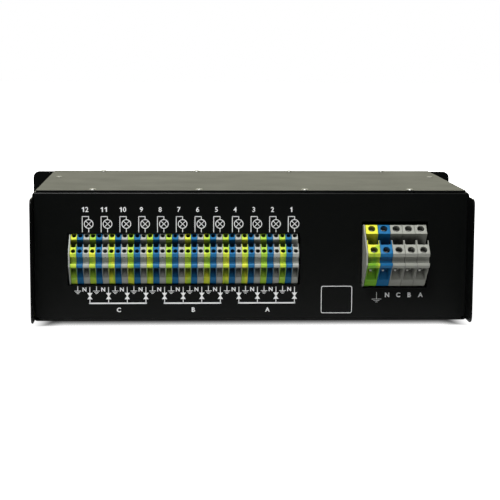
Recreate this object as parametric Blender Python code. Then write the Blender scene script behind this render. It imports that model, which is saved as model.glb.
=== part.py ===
"""A 3U rack switch pack with twelve channels, modelled as its separate pieces.

The folded steel case stands on Z = 0. The terminal side faces -Y, the control side with the rack
ears faces +Y, and the origin is the middle of the footprint.
"""
import math

import bmesh
import bpy
from mathutils import Vector

MM = 0.001
GAP = 0.3 * MM                      # clearance between pieces that touch

# Case
BODY_WIDTH = 440 * MM
BODY_DEPTH = 230 * MM               # terminal panel's outer face to the front panel's back
SHEET = 1.5 * MM
BEND_RADIUS = 3.5 * MM
COVER_TOP = 132.6 * MM
FLANGE_WIDTH = 20 * MM
FRONT_FLANGE = 14 * MM
WING_REACH = 30 * MM                # how far the side plates run past the terminal panel
WING_TOP = 126.3 * MM
WING_FOOT = 1.4 * MM
WING_TOP_RADIUS = 6 * MM
WING_FOOT_RADIUS = 9 * MM

# Rack front panel
FRONT_WIDTH = 482.6 * MM            # the 19-inch width
FRONT_THICKNESS = 3 * MM
FRONT_FOOT = 0.6 * MM
FRONT_HEIGHT = 131 * MM
FRONT_RADIUS = 7 * MM
RACK_HOLE_SPAN = 465.1 * MM
RACK_HOLE_RISE = 57.15 * MM
RACK_SLOT_LENGTH = 10.3 * MM
RACK_SLOT_HEIGHT = 6.8 * MM

# Terminals, which stand on 35 mm rails turned out and down
TILT = math.radians(41)
RAIL_WIDTH = 35 * MM
RAIL_HEIGHT = 7.5 * MM
RAIL_BASE = 27 * MM
RAIL_SHEET = 1 * MM
CHANNELS = 12
CHANNEL_PITCH = 6.34 * MM
CHANNEL_START = -181.8 * MM         # left face of the first terminal
CHANNEL_RAIL_Y = 23.2 * MM          # from the terminal panel's face
CHANNEL_RAIL_Z = 44.95 * MM
CHANNEL_TOP = 47 * MM               # screw face above the rail's base
CHANNEL_SCREW = 10.3 * MM           # screw hole from the terminal's middle
CHANNEL_SCREW_RADIUS = 2.15 * MM
CHANNEL_SLOT = (5.2 * MM, 5.6 * MM, 31 * MM)     # jumper slot: width, half length, floor
CHANNEL_RIDGE = 3 * MM
CHANNEL_MOUTH = 21.2 * MM           # wire funnel's mouth from the terminal's middle
MAINS_NAMES = ("earth", "neutral", "phase_c", "phase_b", "phase_a")
MAINS_PITCH = 12.4 * MM
MAINS_START = 114.1 * MM
MAINS_RAIL_Y = 17.75 * MM
MAINS_RAIL_Z = 45 * MM
MAINS_TOP = 54 * MM
MAINS_SCREW = 14 * MM
MAINS_SCREW_RADIUS = 3.9 * MM
MAINS_SLOT = (10.2 * MM, 7.3 * MM, 33 * MM)
MAINS_RIDGE = 4 * MM
MAINS_MOUTH = 23.4 * MM
SCREW_DEPTH = 3.8 * MM
END_PLATE = 1.5 * MM
CHANNEL_CUTOUT = (-185.6 * MM, 48.6 * MM, 36.6 * MM, 88.9 * MM)
MAINS_CUTOUT = (111.2 * MM, 178.4 * MM, 33.4 * MM, 101.1 * MM)

# Circuit breakers
BREAKERS = 12
BREAKER_WIDTH = 17.6 * MM
BREAKERS_PER_BANK = 4
BREAKER_MIDDLE_X = -84 * MM
BREAKER_Z = 66 * MM
BREAKER_HEIGHT = 84 * MM
BREAKER_SHOULDER = 50 * MM          # rail face to shoulder
BREAKER_NOSE = 68 * MM              # rail face to nose
NOSE_HEIGHT = 45 * MM
NOSE_PROUD = 2.5 * MM               # nose ahead of the front panel
TOGGLE_DRUM = 5.4 * MM
TOGGLE_WIDTH = 7.4 * MM
TOGGLE_SINK = 2.2 * MM              # hinge axis behind the nose's face
TOGGLE_ARM = 13.5 * MM              # hinge axis to tip
TOGGLE_REST = math.radians(-40)     # off: the tip points down

# Control module and sockets
MODULE_X = 122 * MM
MODULE_Z = 94 * MM
MODULE_WIDTH = 120 * MM
MODULE_HEIGHT = 50 * MM
MODULE_DEPTH = 24 * MM
BEZEL = 3 * MM
DISPLAY_WIDTH = 72 * MM
DISPLAY_HEIGHT = 20 * MM
DISPLAY_RISE = 9 * MM
DISPLAY_SINK = 1.2 * MM
BUTTONS = ("menu", "down", "up", "enter")
BUTTON_RADIUS = 4 * MM
BUTTON_HOLE = 4.5 * MM
BUTTON_PROUD = 2.2 * MM
BUTTON_SPACING = 18 * MM
BUTTON_DROP = 14 * MM
SOCKET_Z = 32 * MM
SOCKET_IN_X = 156 * MM
SOCKET_OUT_X = 88 * MM
SOCKET_FLANGE = (26 * MM, 31 * MM, 2 * MM)
SOCKET_BARREL = 11.8 * MM
SOCKET_HOLE = 12.2 * MM
SOCKET_DEPTH = 20 * MM
PIN_PLACES = ((-3.9 * MM, 1.7 * MM), (3.9 * MM, 1.7 * MM), (0.0, -4.2 * MM))
PIN_RADIUS = 1.2 * MM
PIN_BORE = 1.4 * MM
WELL_RADIUS = 8.6 * MM
WELL_DEPTH = 14 * MM
RING_OUTER = 9.6 * MM
RING_INNER = 7.7 * MM
RING_DEPTH = 12 * MM
LATCH_WIDTH = 7 * MM
LATCH_HEIGHT = 2.6 * MM
LATCH_RISE = 12.3 * MM
LATCH_PLAY = 0.35 * MM
LATCH_FOOT = 0.8 * MM               # how far the tab reaches behind the socket's flange
LATCH_PROUD = 1.4 * MM
LATCH_TRAVEL = 1.2 * MM

# Fan
FAN_SIZE = 80 * MM
FAN_DEPTH = 25 * MM
FAN_BORE = 38 * MM
FAN_HUB = 17 * MM
FAN_BLADES = 7
FAN_Y = 112 * MM
FAN_Z = 66 * MM
FAN_PLATE = 3 * MM                  # hub plate and its struts
FAN_STRUT = 5 * MM
FAN_BLADE = 1.6 * MM

# Vents in the side plates: first slot's middle from the terminal panel, and how many
VENT_WIDTH = 3.6 * MM
VENT_PITCH = 8 * MM
VENT_HEIGHT = 64 * MM
VENT_LOW = 34 * MM
FAN_VENTS = (84 * MM, 8)
INLET_VENTS = (60 * MM, 12)

# Power electronics on the floor
SINK_LEFT = -200 * MM
SINK_RIGHT = 92 * MM
SINK_Y = 62 * MM                    # from the terminal panel's face, like the other depths here
SINK_LIFT = 8 * MM
SINK_BASE = 5 * MM
SINK_HEIGHT = 34 * MM
FIN_PITCH = 7.5 * MM
FINS = 10
FIN_FOOT = 1.8 * MM
FIN_TIP = 1.4 * MM
BOARD = 1.6 * MM
POWER_BOARD_Z = 48 * MM
POWER_BOARD_Y = (60 * MM, 138 * MM)
SWITCH_PITCH = 24 * MM
SWITCH_SIZE = (16 * MM, 48 * MM, 12.4 * MM)
SUPPLY_LEFT = 112 * MM
SUPPLY_SIZE = (62 * MM, 92 * MM, 34 * MM)
SUPPLY_STEP = 12 * MM
CONTROL_BOARD_WIDTH = 112 * MM
CONTROL_BOARD_HEIGHT = 64 * MM
CONTROL_BOARD_BACK = 12 * MM        # behind the control module

# Feet of the folded brackets
BRACKET = 2 * MM
CARRIER_HALF = 13 * MM
CARRIER_FRONT_FOOT = 7 * MM
CARRIER_BACK_FOOT = 12 * MM
POST_FOOT = 18 * MM
POST_WIDTH = 9 * MM

# Where the terminal panel's face lies, so that the whole footprint is centred on the origin
FRONT_BACK = BODY_DEPTH + GAP
FRONT_FACE = FRONT_BACK + FRONT_THICKNESS
NOSE_FACE = FRONT_FACE + NOSE_PROUD
TOGGLE_AXIS_Y = NOSE_FACE - TOGGLE_SINK
TOGGLE_TIP_HALF = 2.3 * MM
TOGGLE_REACH = (TOGGLE_ARM - TOGGLE_TIP_HALF) * math.cos(TOGGLE_REST) + TOGGLE_TIP_HALF
MAINS_EDGE = 19.1 * MM              # the screw face's edge from the terminal's middle
MAINS_REACH = MAINS_EDGE * math.cos(TILT) + MAINS_TOP * math.sin(TILT) - MAINS_RAIL_Y
PANEL_Y = (MAINS_REACH - TOGGLE_AXIS_Y - TOGGLE_REACH) / 2


def clear_scene():
    for item in list(bpy.data.objects):
        bpy.data.objects.remove(item, do_unlink=True)


def finish(name, colour, roughness, metallic=0.0):
    """Material of one colour for a sub-part."""
    material = bpy.data.materials.new(name)
    material.use_nodes = True
    shader = material.node_tree.nodes["Principled BSDF"]
    shader.inputs["Base Color"].default_value = (*colour, 1.0)
    shader.inputs["Roughness"].default_value = roughness
    shader.inputs["Metallic"].default_value = metallic
    return material


def black_powder_coat():
    return finish("black_powder_coat", (0.012, 0.013, 0.014), 0.45)


def zinc_steel():
    return finish("zinc_steel", (0.62, 0.62, 0.60), 0.35, 1.0)


def terminal_grey():
    return finish("terminal_grey", (0.45, 0.45, 0.42), 0.5)


def terminal_blue():
    return finish("terminal_blue", (0.02, 0.13, 0.45), 0.5)


def terminal_earth():
    return finish("terminal_earth", (0.50, 0.66, 0.05), 0.5)


def breaker_white():
    return finish("breaker_white", (0.62, 0.62, 0.60), 0.45)


def toggle_black():
    return finish("toggle_black", (0.02, 0.02, 0.022), 0.4)


def control_plastic():
    return finish("control_plastic", (0.03, 0.03, 0.035), 0.5)


def display_glass():
    return finish("display_glass", (0.01, 0.012, 0.012), 0.1)


def button_grey():
    return finish("button_grey", (0.25, 0.25, 0.26), 0.5)


def socket_nickel():
    return finish("socket_nickel", (0.30, 0.30, 0.31), 0.3, 1.0)


def fan_plastic():
    return finish("fan_plastic", (0.02, 0.02, 0.02), 0.55)


def bare_aluminium():
    return finish("bare_aluminium", (0.70, 0.71, 0.72), 0.4, 1.0)


def board_green():
    return finish("board_green", (0.02, 0.16, 0.06), 0.4)


def add_object(name, mesh, material, location=(0, 0, 0), parent=None):
    mesh.materials.clear()
    mesh.materials.append(material)
    item = bpy.data.objects.new(name, mesh)
    bpy.context.collection.objects.link(item)
    item.parent = parent
    item.location = location
    return item


def add_empty(name, location, rotation=(0, 0, 0)):
    item = bpy.data.objects.new(name, None)
    bpy.context.collection.objects.link(item)
    item.location = location
    item.rotation_euler = rotation
    return item


def along_x(a, b, distance):
    return Vector((distance, a, b))


def along_y(a, b, distance):
    return Vector((a, distance, b))


def along_z(a, b, distance):
    return Vector((a, b, distance))


def extrude(build, outline, start, end, direction):
    """Add to build the prism of a closed outline between two distances."""
    ring = [build.verts.new(direction(a, b, start)) for a, b in outline]
    face = build.faces.new(ring)
    grown = bmesh.ops.extrude_face_region(build, geom=[face])
    moved = [item for item in grown["geom"] if isinstance(item, bmesh.types.BMVert)]
    bmesh.ops.translate(build, vec=direction(0, 0, end - start), verts=moved)


def as_mesh(build, name):
    bmesh.ops.recalc_face_normals(build, faces=build.faces)
    mesh = bpy.data.meshes.new(name)
    build.to_mesh(mesh)
    build.free()
    return mesh


def prism(outline, start, end, direction, name="prism"):
    build = bmesh.new()
    extrude(build, outline, start, end, direction)
    return as_mesh(build, name)


def prisms(parts, name="prisms"):
    """One mesh of several prisms that don't touch: each is (outline, start, end, direction)."""
    build = bmesh.new()
    for outline, start, end, direction in parts:
        extrude(build, outline, start, end, direction)
    return as_mesh(build, name)


def boolean(mesh, other, operation):
    """Union or difference of two closed meshes."""
    body = bpy.data.objects.new("body", mesh)
    tool = bpy.data.objects.new("tool", other)
    for item in (body, tool):
        bpy.context.collection.objects.link(item)
    step = body.modifiers.new("step", "BOOLEAN")
    step.operation = operation
    step.object = tool
    step.solver = "EXACT"
    graph = bpy.context.evaluated_depsgraph_get()
    result = bpy.data.meshes.new_from_object(body.evaluated_get(graph))
    result.name = mesh.name
    for item in (body, tool):
        bpy.data.objects.remove(item, do_unlink=True)
    return result


def cut(mesh, other):
    return boolean(mesh, other, "DIFFERENCE")


def join(mesh, *others):
    for other in others:
        mesh = boolean(mesh, other, "UNION")
    return mesh


def smooth(mesh, degrees=35):
    """Round faces shade smoothly, and edges sharper than the angle stay crisp."""
    mesh.shade_smooth()
    mesh.set_sharp_from_angle(angle=math.radians(degrees))
    return mesh


def arc(centre_a, centre_b, radius, start, end, steps):
    """Points of an arc between two angles in degrees."""
    points = []
    for step in range(steps + 1):
        angle = math.radians(start + (end - start) * step / steps)
        points.append((centre_a + radius * math.cos(angle), centre_b + radius * math.sin(angle)))
    return points


def circle(centre_a, centre_b, radius, steps):
    return arc(centre_a, centre_b, radius, 0, 360, steps)[:-1]


def rectangle(left, right, low, high):
    return [(left, low), (right, low), (right, high), (left, high)]


def rounded_rectangle(left, right, low, high, radius, steps=4):
    points = arc(right - radius, high - radius, radius, 0, 90, steps)
    points += arc(left + radius, high - radius, radius, 90, 180, steps)
    points += arc(left + radius, low + radius, radius, 180, 270, steps)
    points += arc(right - radius, low + radius, radius, 270, 360, steps)
    return points


def centred(width, height, middle_a=0.0, middle_b=0.0):
    return (middle_a - width / 2, middle_a + width / 2, middle_b - height / 2, middle_b + height / 2)


def strip(points, thickness):
    """Outline of a folded sheet whose middle line runs through the points."""
    path = [Vector(point) for point in points]
    left = []
    right = []
    for index, point in enumerate(path):
        before = (point - path[index - 1]).normalized() if index else None
        after = (path[index + 1] - point).normalized() if index + 1 < len(path) else None
        before = before or after
        after = after or before
        side = Vector((-before.y - after.y, before.x + after.x)).normalized()
        reach = thickness / 2 / side.dot(Vector((-after.y, after.x)))
        left.append(tuple(point + side * reach))
        right.append(tuple(point - side * reach))
    return left + right[::-1]


def tray_section():
    """The case's section across its width: floor, side plates and their top flanges."""
    outer = BODY_WIDTH / 2
    inner = outer - SHEET
    top = COVER_TOP - SHEET - GAP
    bend = BEND_RADIUS
    inside = bend - SHEET
    lip = outer - FLANGE_WIDTH
    right = arc(outer - bend, bend, bend, 270, 360, 4)
    right += arc(outer - bend, top - bend, bend, 0, 90, 4)
    right += [(lip, top), (lip, top - SHEET)]
    right += arc(outer - bend, top - bend, inside, 90, 0, 3)
    right += arc(inner - inside, SHEET + inside, inside, 0, -90, 3)
    left = [(-x, z) for x, z in right]
    return right + left[::-1]


def vent_slots(side, first_y, count):
    """Upright slots through one side plate."""
    half = VENT_WIDTH / 2
    inner = side * (BODY_WIDTH / 2 - 3 * SHEET)
    outer = side * (BODY_WIDTH / 2 + 3 * SHEET)
    parts = []
    for index in range(count):
        middle = PANEL_Y + first_y + index * VENT_PITCH
        outline = rounded_rectangle(middle - half, middle + half, VENT_LOW, VENT_LOW + VENT_HEIGHT, half, 2)
        parts.append((outline, min(inner, outer), max(inner, outer), along_x))
    return parts


def wing_waste():
    """Everything round a side plate's wing that isn't wing, seen from the side."""
    tip = PANEL_Y - WING_REACH
    far = 10 * MM
    outline = [(PANEL_Y, -far), (PANEL_Y, WING_FOOT)]
    outline += arc(tip + WING_FOOT_RADIUS, WING_FOOT + WING_FOOT_RADIUS, WING_FOOT_RADIUS, 270, 180, 5)
    outline += arc(tip + WING_TOP_RADIUS, WING_TOP - WING_TOP_RADIUS, WING_TOP_RADIUS, 180, 90, 4)
    outline += [(PANEL_Y, WING_TOP), (PANEL_Y, COVER_TOP + far)]
    outline += [(tip - far, COVER_TOP + far), (tip - far, -far)]
    reach = BODY_WIDTH / 2 + far
    return prism(outline, -reach, reach, along_x)


def chassis_tray():
    """Floor, side plates with their wings and vents, top flanges and front flanges: one folded sheet."""
    mesh = prism(tray_section(), PANEL_Y - WING_REACH, PANEL_Y + BODY_DEPTH, along_y, "chassis_tray")
    inner = BODY_WIDTH / 2 - SHEET
    between = rectangle(-inner, inner, -SHEET, COVER_TOP + SHEET)
    mesh = cut(mesh, prism(between, PANEL_Y - 2 * WING_REACH, PANEL_Y, along_y))
    above = rectangle(-inner, inner, COVER_TOP / 2, COVER_TOP + SHEET)
    mesh = cut(mesh, prism(above, PANEL_Y - SHEET, PANEL_Y + SHEET + GAP, along_y))
    mesh = cut(mesh, wing_waste())
    mesh = cut(mesh, prisms(vent_slots(1, *FAN_VENTS) + vent_slots(-1, *INLET_VENTS)))
    front = PANEL_Y + BODY_DEPTH
    for side in (-1, 1):
        left, right = sorted((side * (inner + SHEET / 2), side * (inner - FRONT_FLANGE)))
        flange = rectangle(left, right, 6 * MM, 122 * MM)
        mesh = join(mesh, prism(flange, front - SHEET, front, along_y))
    return mesh


def top_cover():
    """Flat cover plate on the flanges, with softened edges."""
    half = BODY_WIDTH / 2 - BEND_RADIUS
    outline = rounded_rectangle(-half, half, PANEL_Y, PANEL_Y + BODY_DEPTH, 1.5 * MM, 2)
    return prism(outline, COVER_TOP - SHEET, COVER_TOP, along_z, "top_cover")


def terminal_panel():
    """Rear plate with a flange folded in at its top and a cutout for each terminal strip."""
    half = BODY_WIDTH / 2 - SHEET - GAP
    flange_half = BODY_WIDTH / 2 - FLANGE_WIDTH - 2 * GAP
    low = SHEET + GAP
    top = COVER_TOP - SHEET - GAP
    bend = 2.2 * MM
    inside = bend - SHEET
    section = [(PANEL_Y, low)]
    section += arc(PANEL_Y + bend, top - bend, bend, 180, 90, 4)
    section += [(PANEL_Y + 15 * MM, top), (PANEL_Y + 15 * MM, top - SHEET)]
    section += arc(PANEL_Y + bend, top - bend, inside, 90, 180, 3)
    section += [(PANEL_Y + SHEET, low)]
    mesh = prism(section, -half, half, along_x, "terminal_panel")
    corner = COVER_TOP / 2
    notches = []
    for side in (-1, 1):
        left, right = sorted((side * flange_half, side * (half + SHEET)))
        upper = rectangle(left, right, PANEL_Y + SHEET, PANEL_Y + FLANGE_WIDTH)
        notches.append((upper, corner, COVER_TOP, along_z))
        left, right = sorted((side * (half - BEND_RADIUS), side * (half + SHEET)))
        lower = rectangle(left, right, -SHEET, BEND_RADIUS)
        notches.append((lower, PANEL_Y - SHEET, PANEL_Y + 2 * SHEET, along_y))
    mesh = cut(mesh, prisms(notches))
    cutouts = []
    for left, right, bottom, upper in (CHANNEL_CUTOUT, MAINS_CUTOUT):
        outline = rounded_rectangle(left, right, bottom, upper, 1.2 * MM, 3)
        cutouts.append((outline, PANEL_Y - SHEET, PANEL_Y + 2 * SHEET, along_y))
    return cut(mesh, prisms(cutouts))


def front_panel():
    """Rack panel with its slots, the breaker window, the module's window and two socket holes."""
    outline = rounded_rectangle(*centred(FRONT_WIDTH, FRONT_HEIGHT, 0, FRONT_FOOT + FRONT_HEIGHT / 2),
                                FRONT_RADIUS, 5)
    back = PANEL_Y + FRONT_BACK
    mesh = prism(outline, back, back + FRONT_THICKNESS, along_y, "front_panel")
    holes = []
    for side in (-1, 1):
        for rise in (-1, 1):
            middle = (side * RACK_HOLE_SPAN / 2, FRONT_FOOT + FRONT_HEIGHT / 2 + rise * RACK_HOLE_RISE / 2)
            size = centred(RACK_SLOT_LENGTH, RACK_SLOT_HEIGHT, *middle)
            holes.append(rounded_rectangle(*size, RACK_SLOT_HEIGHT / 2 - 0.01 * MM, 3))
    play = 1.2 * MM
    noses = BREAKERS * BREAKER_WIDTH + 2 * GAP
    window = centred(noses + play, NOSE_HEIGHT + play, BREAKER_MIDDLE_X, BREAKER_Z)
    holes.append(rounded_rectangle(*window, 0.5 * MM, 2))
    module = centred(MODULE_WIDTH - 5.2 * MM, MODULE_HEIGHT - 5.2 * MM, MODULE_X, MODULE_Z)
    holes.append(rounded_rectangle(*module, 2 * MM, 3))
    for x in (SOCKET_IN_X, SOCKET_OUT_X):
        holes.append(circle(x, SOCKET_Z, SOCKET_HOLE, 20))
    cutters = [(hole, back - SHEET, back + 2 * FRONT_THICKNESS, along_y) for hole in holes]
    mesh = cut(mesh, prisms(cutters))
    keyway = rectangle(SOCKET_OUT_X - LATCH_WIDTH / 2 - MM, SOCKET_OUT_X + LATCH_WIDTH / 2 + MM, SOCKET_Z,
                       SOCKET_Z + LATCH_RISE + LATCH_HEIGHT / 2 + MM)
    return cut(mesh, prism(keyway, back - SHEET, back + 2 * FRONT_THICKNESS, along_y))


def rail_section():
    """Top-hat rail: its base lies on height 0 and its brims face up."""
    half = RAIL_SHEET / 2
    brim = RAIL_HEIGHT - half
    foot = RAIL_BASE / 2 - half
    points = [(-RAIL_WIDTH / 2, brim), (-foot, brim), (-foot, half), (foot, half), (foot, brim)]
    points += [(RAIL_WIDTH / 2, brim)]
    return strip(points, RAIL_SHEET)


def mounting_rail(start, end, name):
    return prism(rail_section(), start, end, along_x, name)


def mirrored(half):
    """Closed outline of a half outline, given from the middle's top round to the middle's foot."""
    return half + [(-a, b) for a, b in reversed(half) if a > 0]


def foot_hook(half_length):
    """The clip at a terminal's foot, which grips under the rail's brim."""
    brim = RAIL_WIDTH / 2
    low = RAIL_HEIGHT - RAIL_SHEET - GAP
    return [(half_length, 3.6 * MM), (brim - 0.6 * MM, 4.4 * MM), (brim - 0.9 * MM, low), (brim + GAP, low),
            (brim + GAP, RAIL_HEIGHT + GAP)]


def channel_half():
    """Half profile of a channel terminal: screw face, shoulder, marker groove, rib and side."""
    upper = [(14.2, 47.0), (15.8, 43.6), (12.0, 41.2), (15.2, 35.4), (19.6, 38.3), (22.1, 35.4)]
    upper += [(21.0, 34.4), (21.6, 8.0)]
    return [(a * MM, b * MM) for a, b in upper] + foot_hook(21.6 * MM)


def mains_half():
    """Half profile of a mains terminal."""
    upper = [(21.4, 51.2), (18.0, 46.6), (21.4, 42.2), (25.6, 45.9), (26.8, 44.5), (26.6, 41.2)]
    upper += [(24.6, 38.4), (20.6, 8.0)]
    return [(MAINS_EDGE, MAINS_TOP)] + [(a * MM, b * MM) for a, b in upper] + foot_hook(20.6 * MM)


def end_half(half):
    """Half outline of an end plate: the terminal's own without its marker groove."""
    return half[:2] + half[4:]


def screw_holes(middles, reach, top, radius, steps):
    """Round access holes down to the clamp screws, at both ends of each terminal."""
    parts = []
    for x in middles:
        for side in (-1, 1):
            outline = circle(x, side * reach, radius, steps)
            parts.append((outline, top - SCREW_DEPTH, top + SCREW_DEPTH, along_z))
    return parts


def jumper_slots(middles, slot, top):
    """Slot down the middle of each terminal, which takes a plug-in jumper."""
    width, half, floor = slot
    outline = rectangle(-half, half, floor, top + half)
    return [(outline, x - width / 2, x + width / 2, along_x) for x in middles]


def partition_cut(end, slot, top, ridge):
    """Takes the partitions between the slots down to a valley, with a ridge left at each end of the slot."""
    half = slot[1]
    floor = slot[2]
    lowest = floor + 0.35 * (top - floor)
    outline = [(-half, top + ridge), (-half, top), (-half + ridge, lowest)]
    outline += [(half - ridge, lowest), (half, top), (half, top + ridge)]
    return prism(outline, -ridge, end + ridge, along_x)


def wire_funnel(x, width, side, mouth, depth, low, high):
    """Entry funnel in a terminal's side: deep under the rib, running out towards the foot."""
    outside = side * (mouth + 3 * MM)
    outline = [(outside, high), (side * (mouth - depth), high - 0.6 * MM),
               (side * (mouth - depth), high - depth), (side * mouth, low), (outside, low - MM)]
    return (outline, x - width / 2, x + width / 2, along_x)


def channel_terminal_block():
    """Three feed-through terminals of one channel, side by side."""
    width = 3 * CHANNEL_PITCH - GAP
    mesh = prism(mirrored(channel_half()), 0, width, along_x, "channel_terminals")
    middles = [CHANNEL_PITCH * (index + 0.5) - GAP / 2 for index in range(3)]
    mesh = cut(mesh, prisms(jumper_slots(middles, CHANNEL_SLOT, CHANNEL_TOP)))
    mesh = cut(mesh, partition_cut(width, CHANNEL_SLOT, CHANNEL_TOP, CHANNEL_RIDGE))
    mesh = cut(mesh, prisms(screw_holes(middles, CHANNEL_SCREW, CHANNEL_TOP, CHANNEL_SCREW_RADIUS, 8)))
    funnels = []
    for side in (-1, 1):
        for x in middles:
            funnels.append(wire_funnel(x, 3.9 * MM, side, CHANNEL_MOUTH, 5 * MM, 16 * MM, 33.4 * MM))
    return cut(mesh, prisms(funnels))


def mains_terminal_block():
    """One feed-through terminal of the mains strip."""
    width = MAINS_PITCH - GAP
    mesh = prism(mirrored(mains_half()), 0, width, along_x, "mains_terminal")
    middle = [width / 2]
    mesh = cut(mesh, prisms(jumper_slots(middle, MAINS_SLOT, MAINS_TOP)))
    mesh = cut(mesh, partition_cut(width, MAINS_SLOT, MAINS_TOP, MAINS_RIDGE))
    mesh = cut(mesh, prisms(screw_holes(middle, MAINS_SCREW, MAINS_TOP, MAINS_SCREW_RADIUS, 12)))
    funnels = []
    for side in (-1, 1):
        funnels.append(wire_funnel(width / 2, 9.6 * MM, side, MAINS_MOUTH, 8 * MM, 13 * MM, 37.6 * MM))
    return cut(mesh, prisms(funnels))


def rail_carrier(rail_y, rail_z, start, end, name):
    """Folded trestle on the floor whose slope carries a rail."""
    floor = SHEET + GAP + BRACKET / 2
    drop = GAP + BRACKET / 2
    centre = Vector((PANEL_Y + rail_y + drop * math.sin(TILT), rail_z - drop * math.cos(TILT)))
    slope = Vector((math.cos(TILT), math.sin(TILT))) * CARRIER_HALF
    low = centre - slope
    high = centre + slope
    points = [(low.x - CARRIER_FRONT_FOOT, floor), (low.x, floor), tuple(low), tuple(high)]
    points += [(high.x, floor), (high.x + CARRIER_BACK_FOOT, floor)]
    return prism(strip(points, BRACKET), start, end, along_x, name)


def breaker_section():
    """Side view of a breaker: the back on the rail, the shoulders and the nose."""
    back = PANEL_Y + NOSE_FACE - BREAKER_NOSE
    shoulder = back + BREAKER_SHOULDER
    nose = back + BREAKER_NOSE
    half = BREAKER_HEIGHT / 2
    nose_half = NOSE_HEIGHT / 2
    soft = 1.2 * MM
    brim = RAIL_WIDTH / 2
    hook = RAIL_SHEET + 2 * GAP
    upper = [(nose, 0), (nose, nose_half - soft), (nose - soft, nose_half), (shoulder, nose_half)]
    upper += [(shoulder, half - 2 * soft), (shoulder - soft, half), (back - hook - soft, half)]
    upper += [(back - hook - soft, brim - MM), (back - hook, brim - MM), (back - hook, brim + GAP)]
    upper += [(back, brim + GAP)]
    outline = upper + [(y, -z) for y, z in reversed(upper) if z > 0]
    return [(y, z + BREAKER_Z) for y, z in outline]


def breaker_bank(first):
    """Four single-pole breakers ganged on the rail, with a pocket for each toggle."""
    start = BREAKER_MIDDLE_X - BREAKERS * BREAKER_WIDTH / 2 + first * BREAKER_WIDTH + GAP / 2
    width = BREAKERS_PER_BANK * BREAKER_WIDTH - GAP
    mesh = prism(breaker_section(), start, start + width, along_x, "breaker_bank")
    axis = (PANEL_Y + TOGGLE_AXIS_Y, BREAKER_Z)
    pockets = []
    for index in range(BREAKERS_PER_BANK):
        middle = toggle_x(first + index)
        half = TOGGLE_WIDTH / 2 + 0.5 * MM
        pockets.append((circle(*axis, TOGGLE_DRUM + 0.6 * MM, 14), middle - half, middle + half, along_x))
    return cut(mesh, prisms(pockets))


def toggle_x(index):
    return BREAKER_MIDDLE_X + (index - (BREAKERS - 1) / 2) * BREAKER_WIDTH


def breaker_toggle():
    """Drum and tapered lever of a breaker's toggle, about its hinge axis, lever along +Y."""
    half = TOGGLE_WIDTH / 2
    drum = prism(circle(0, 0, TOGGLE_DRUM, 14), -half, half, along_x, "breaker_toggle")
    tip = TOGGLE_ARM - TOGGLE_TIP_HALF
    lever = [(0, -2.9 * MM), (tip, -TOGGLE_TIP_HALF)]
    lever += arc(tip, 0, TOGGLE_TIP_HALF, -90, 90, 4)[1:-1]
    lever += [(tip, TOGGLE_TIP_HALF), (0, 2.9 * MM)]
    return smooth(join(drum, prism(lever, -half + 0.4 * MM, half - 0.4 * MM, along_x)))


def button_x(index):
    return MODULE_X - (index - (len(BUTTONS) - 1) / 2) * BUTTON_SPACING


def control_module():
    """Bezel and housing of the control module, with the display's recess and the button bores."""
    face = PANEL_Y + FRONT_FACE + GAP
    back = PANEL_Y + FRONT_BACK - MODULE_DEPTH
    bezel = prism(rounded_rectangle(*centred(MODULE_WIDTH, MODULE_HEIGHT, MODULE_X, MODULE_Z), 3 * MM, 4),
                  face, face + BEZEL, along_y, "control_module")
    inner = centred(MODULE_WIDTH - 6 * MM, MODULE_HEIGHT - 6 * MM, MODULE_X, MODULE_Z)
    housing = prism(rounded_rectangle(*inner, 1.5 * MM, 2), back, face + BEZEL / 2, along_y)
    mesh = join(bezel, housing)
    top = face + BEZEL
    display = centred(DISPLAY_WIDTH, DISPLAY_HEIGHT, MODULE_X, MODULE_Z + DISPLAY_RISE)
    cutters = [(rounded_rectangle(*display, MM, 2), top - DISPLAY_SINK, top + BEZEL, along_y)]
    for index in range(len(BUTTONS)):
        bore = circle(button_x(index), MODULE_Z - BUTTON_DROP, BUTTON_HOLE, 12)
        cutters.append((bore, top - 10 * MM, top + BEZEL, along_y))
    return cut(mesh, prisms(cutters))


def display_window():
    """Clear plate over the display, in the module's recess."""
    top = PANEL_Y + FRONT_FACE + GAP + BEZEL
    size = centred(DISPLAY_WIDTH - 2 * GAP, DISPLAY_HEIGHT - 2 * GAP, MODULE_X, MODULE_Z + DISPLAY_RISE)
    outline = rounded_rectangle(*size, MM - GAP, 2)
    return prism(outline, top - DISPLAY_SINK + GAP, top - GAP / 2, along_y, "display_window")


def control_button():
    """Round push-button cap with a softened edge; its origin lies in the bezel's face."""
    soft = 0.5 * MM
    build = bmesh.new()
    profile = [(0, BUTTON_PROUD), (BUTTON_RADIUS - soft, BUTTON_PROUD), (BUTTON_RADIUS, BUTTON_PROUD - soft)]
    profile += [(BUTTON_RADIUS, -5 * MM), (0, -5 * MM)]
    return turned(build, profile, 12, "control_button")


def turned(build, profile, steps, name):
    """Turn a profile of (radius, distance) round the Y axis; it starts and ends on the axis."""
    points = [build.verts.new((radius, distance, 0)) for radius, distance in profile]
    edges = [build.edges.new(pair) for pair in zip(points, points[1:])]
    bmesh.ops.spin(build, geom=points + edges, cent=(0, 0, 0), axis=(0, 1, 0), dvec=(0, 0, 0),
                   angle=math.tau, steps=steps, use_merge=True)
    bmesh.ops.remove_doubles(build, verts=build.verts, dist=0.01 * MM)
    return smooth(as_mesh(build, name))


def socket_shell(x, name):
    """Square flange of a panel socket with its round barrel behind the panel."""
    width, height, thickness = SOCKET_FLANGE
    face = PANEL_Y + FRONT_FACE + GAP
    flange = prism(rounded_rectangle(*centred(width, height, x, SOCKET_Z), 3 * MM, 3),
                   face, face + thickness, along_y, name)
    barrel = prism(circle(x, SOCKET_Z, SOCKET_BARREL, 20), face - SOCKET_DEPTH, face + thickness / 2, along_y)
    return join(flange, barrel), face + thickness


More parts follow.
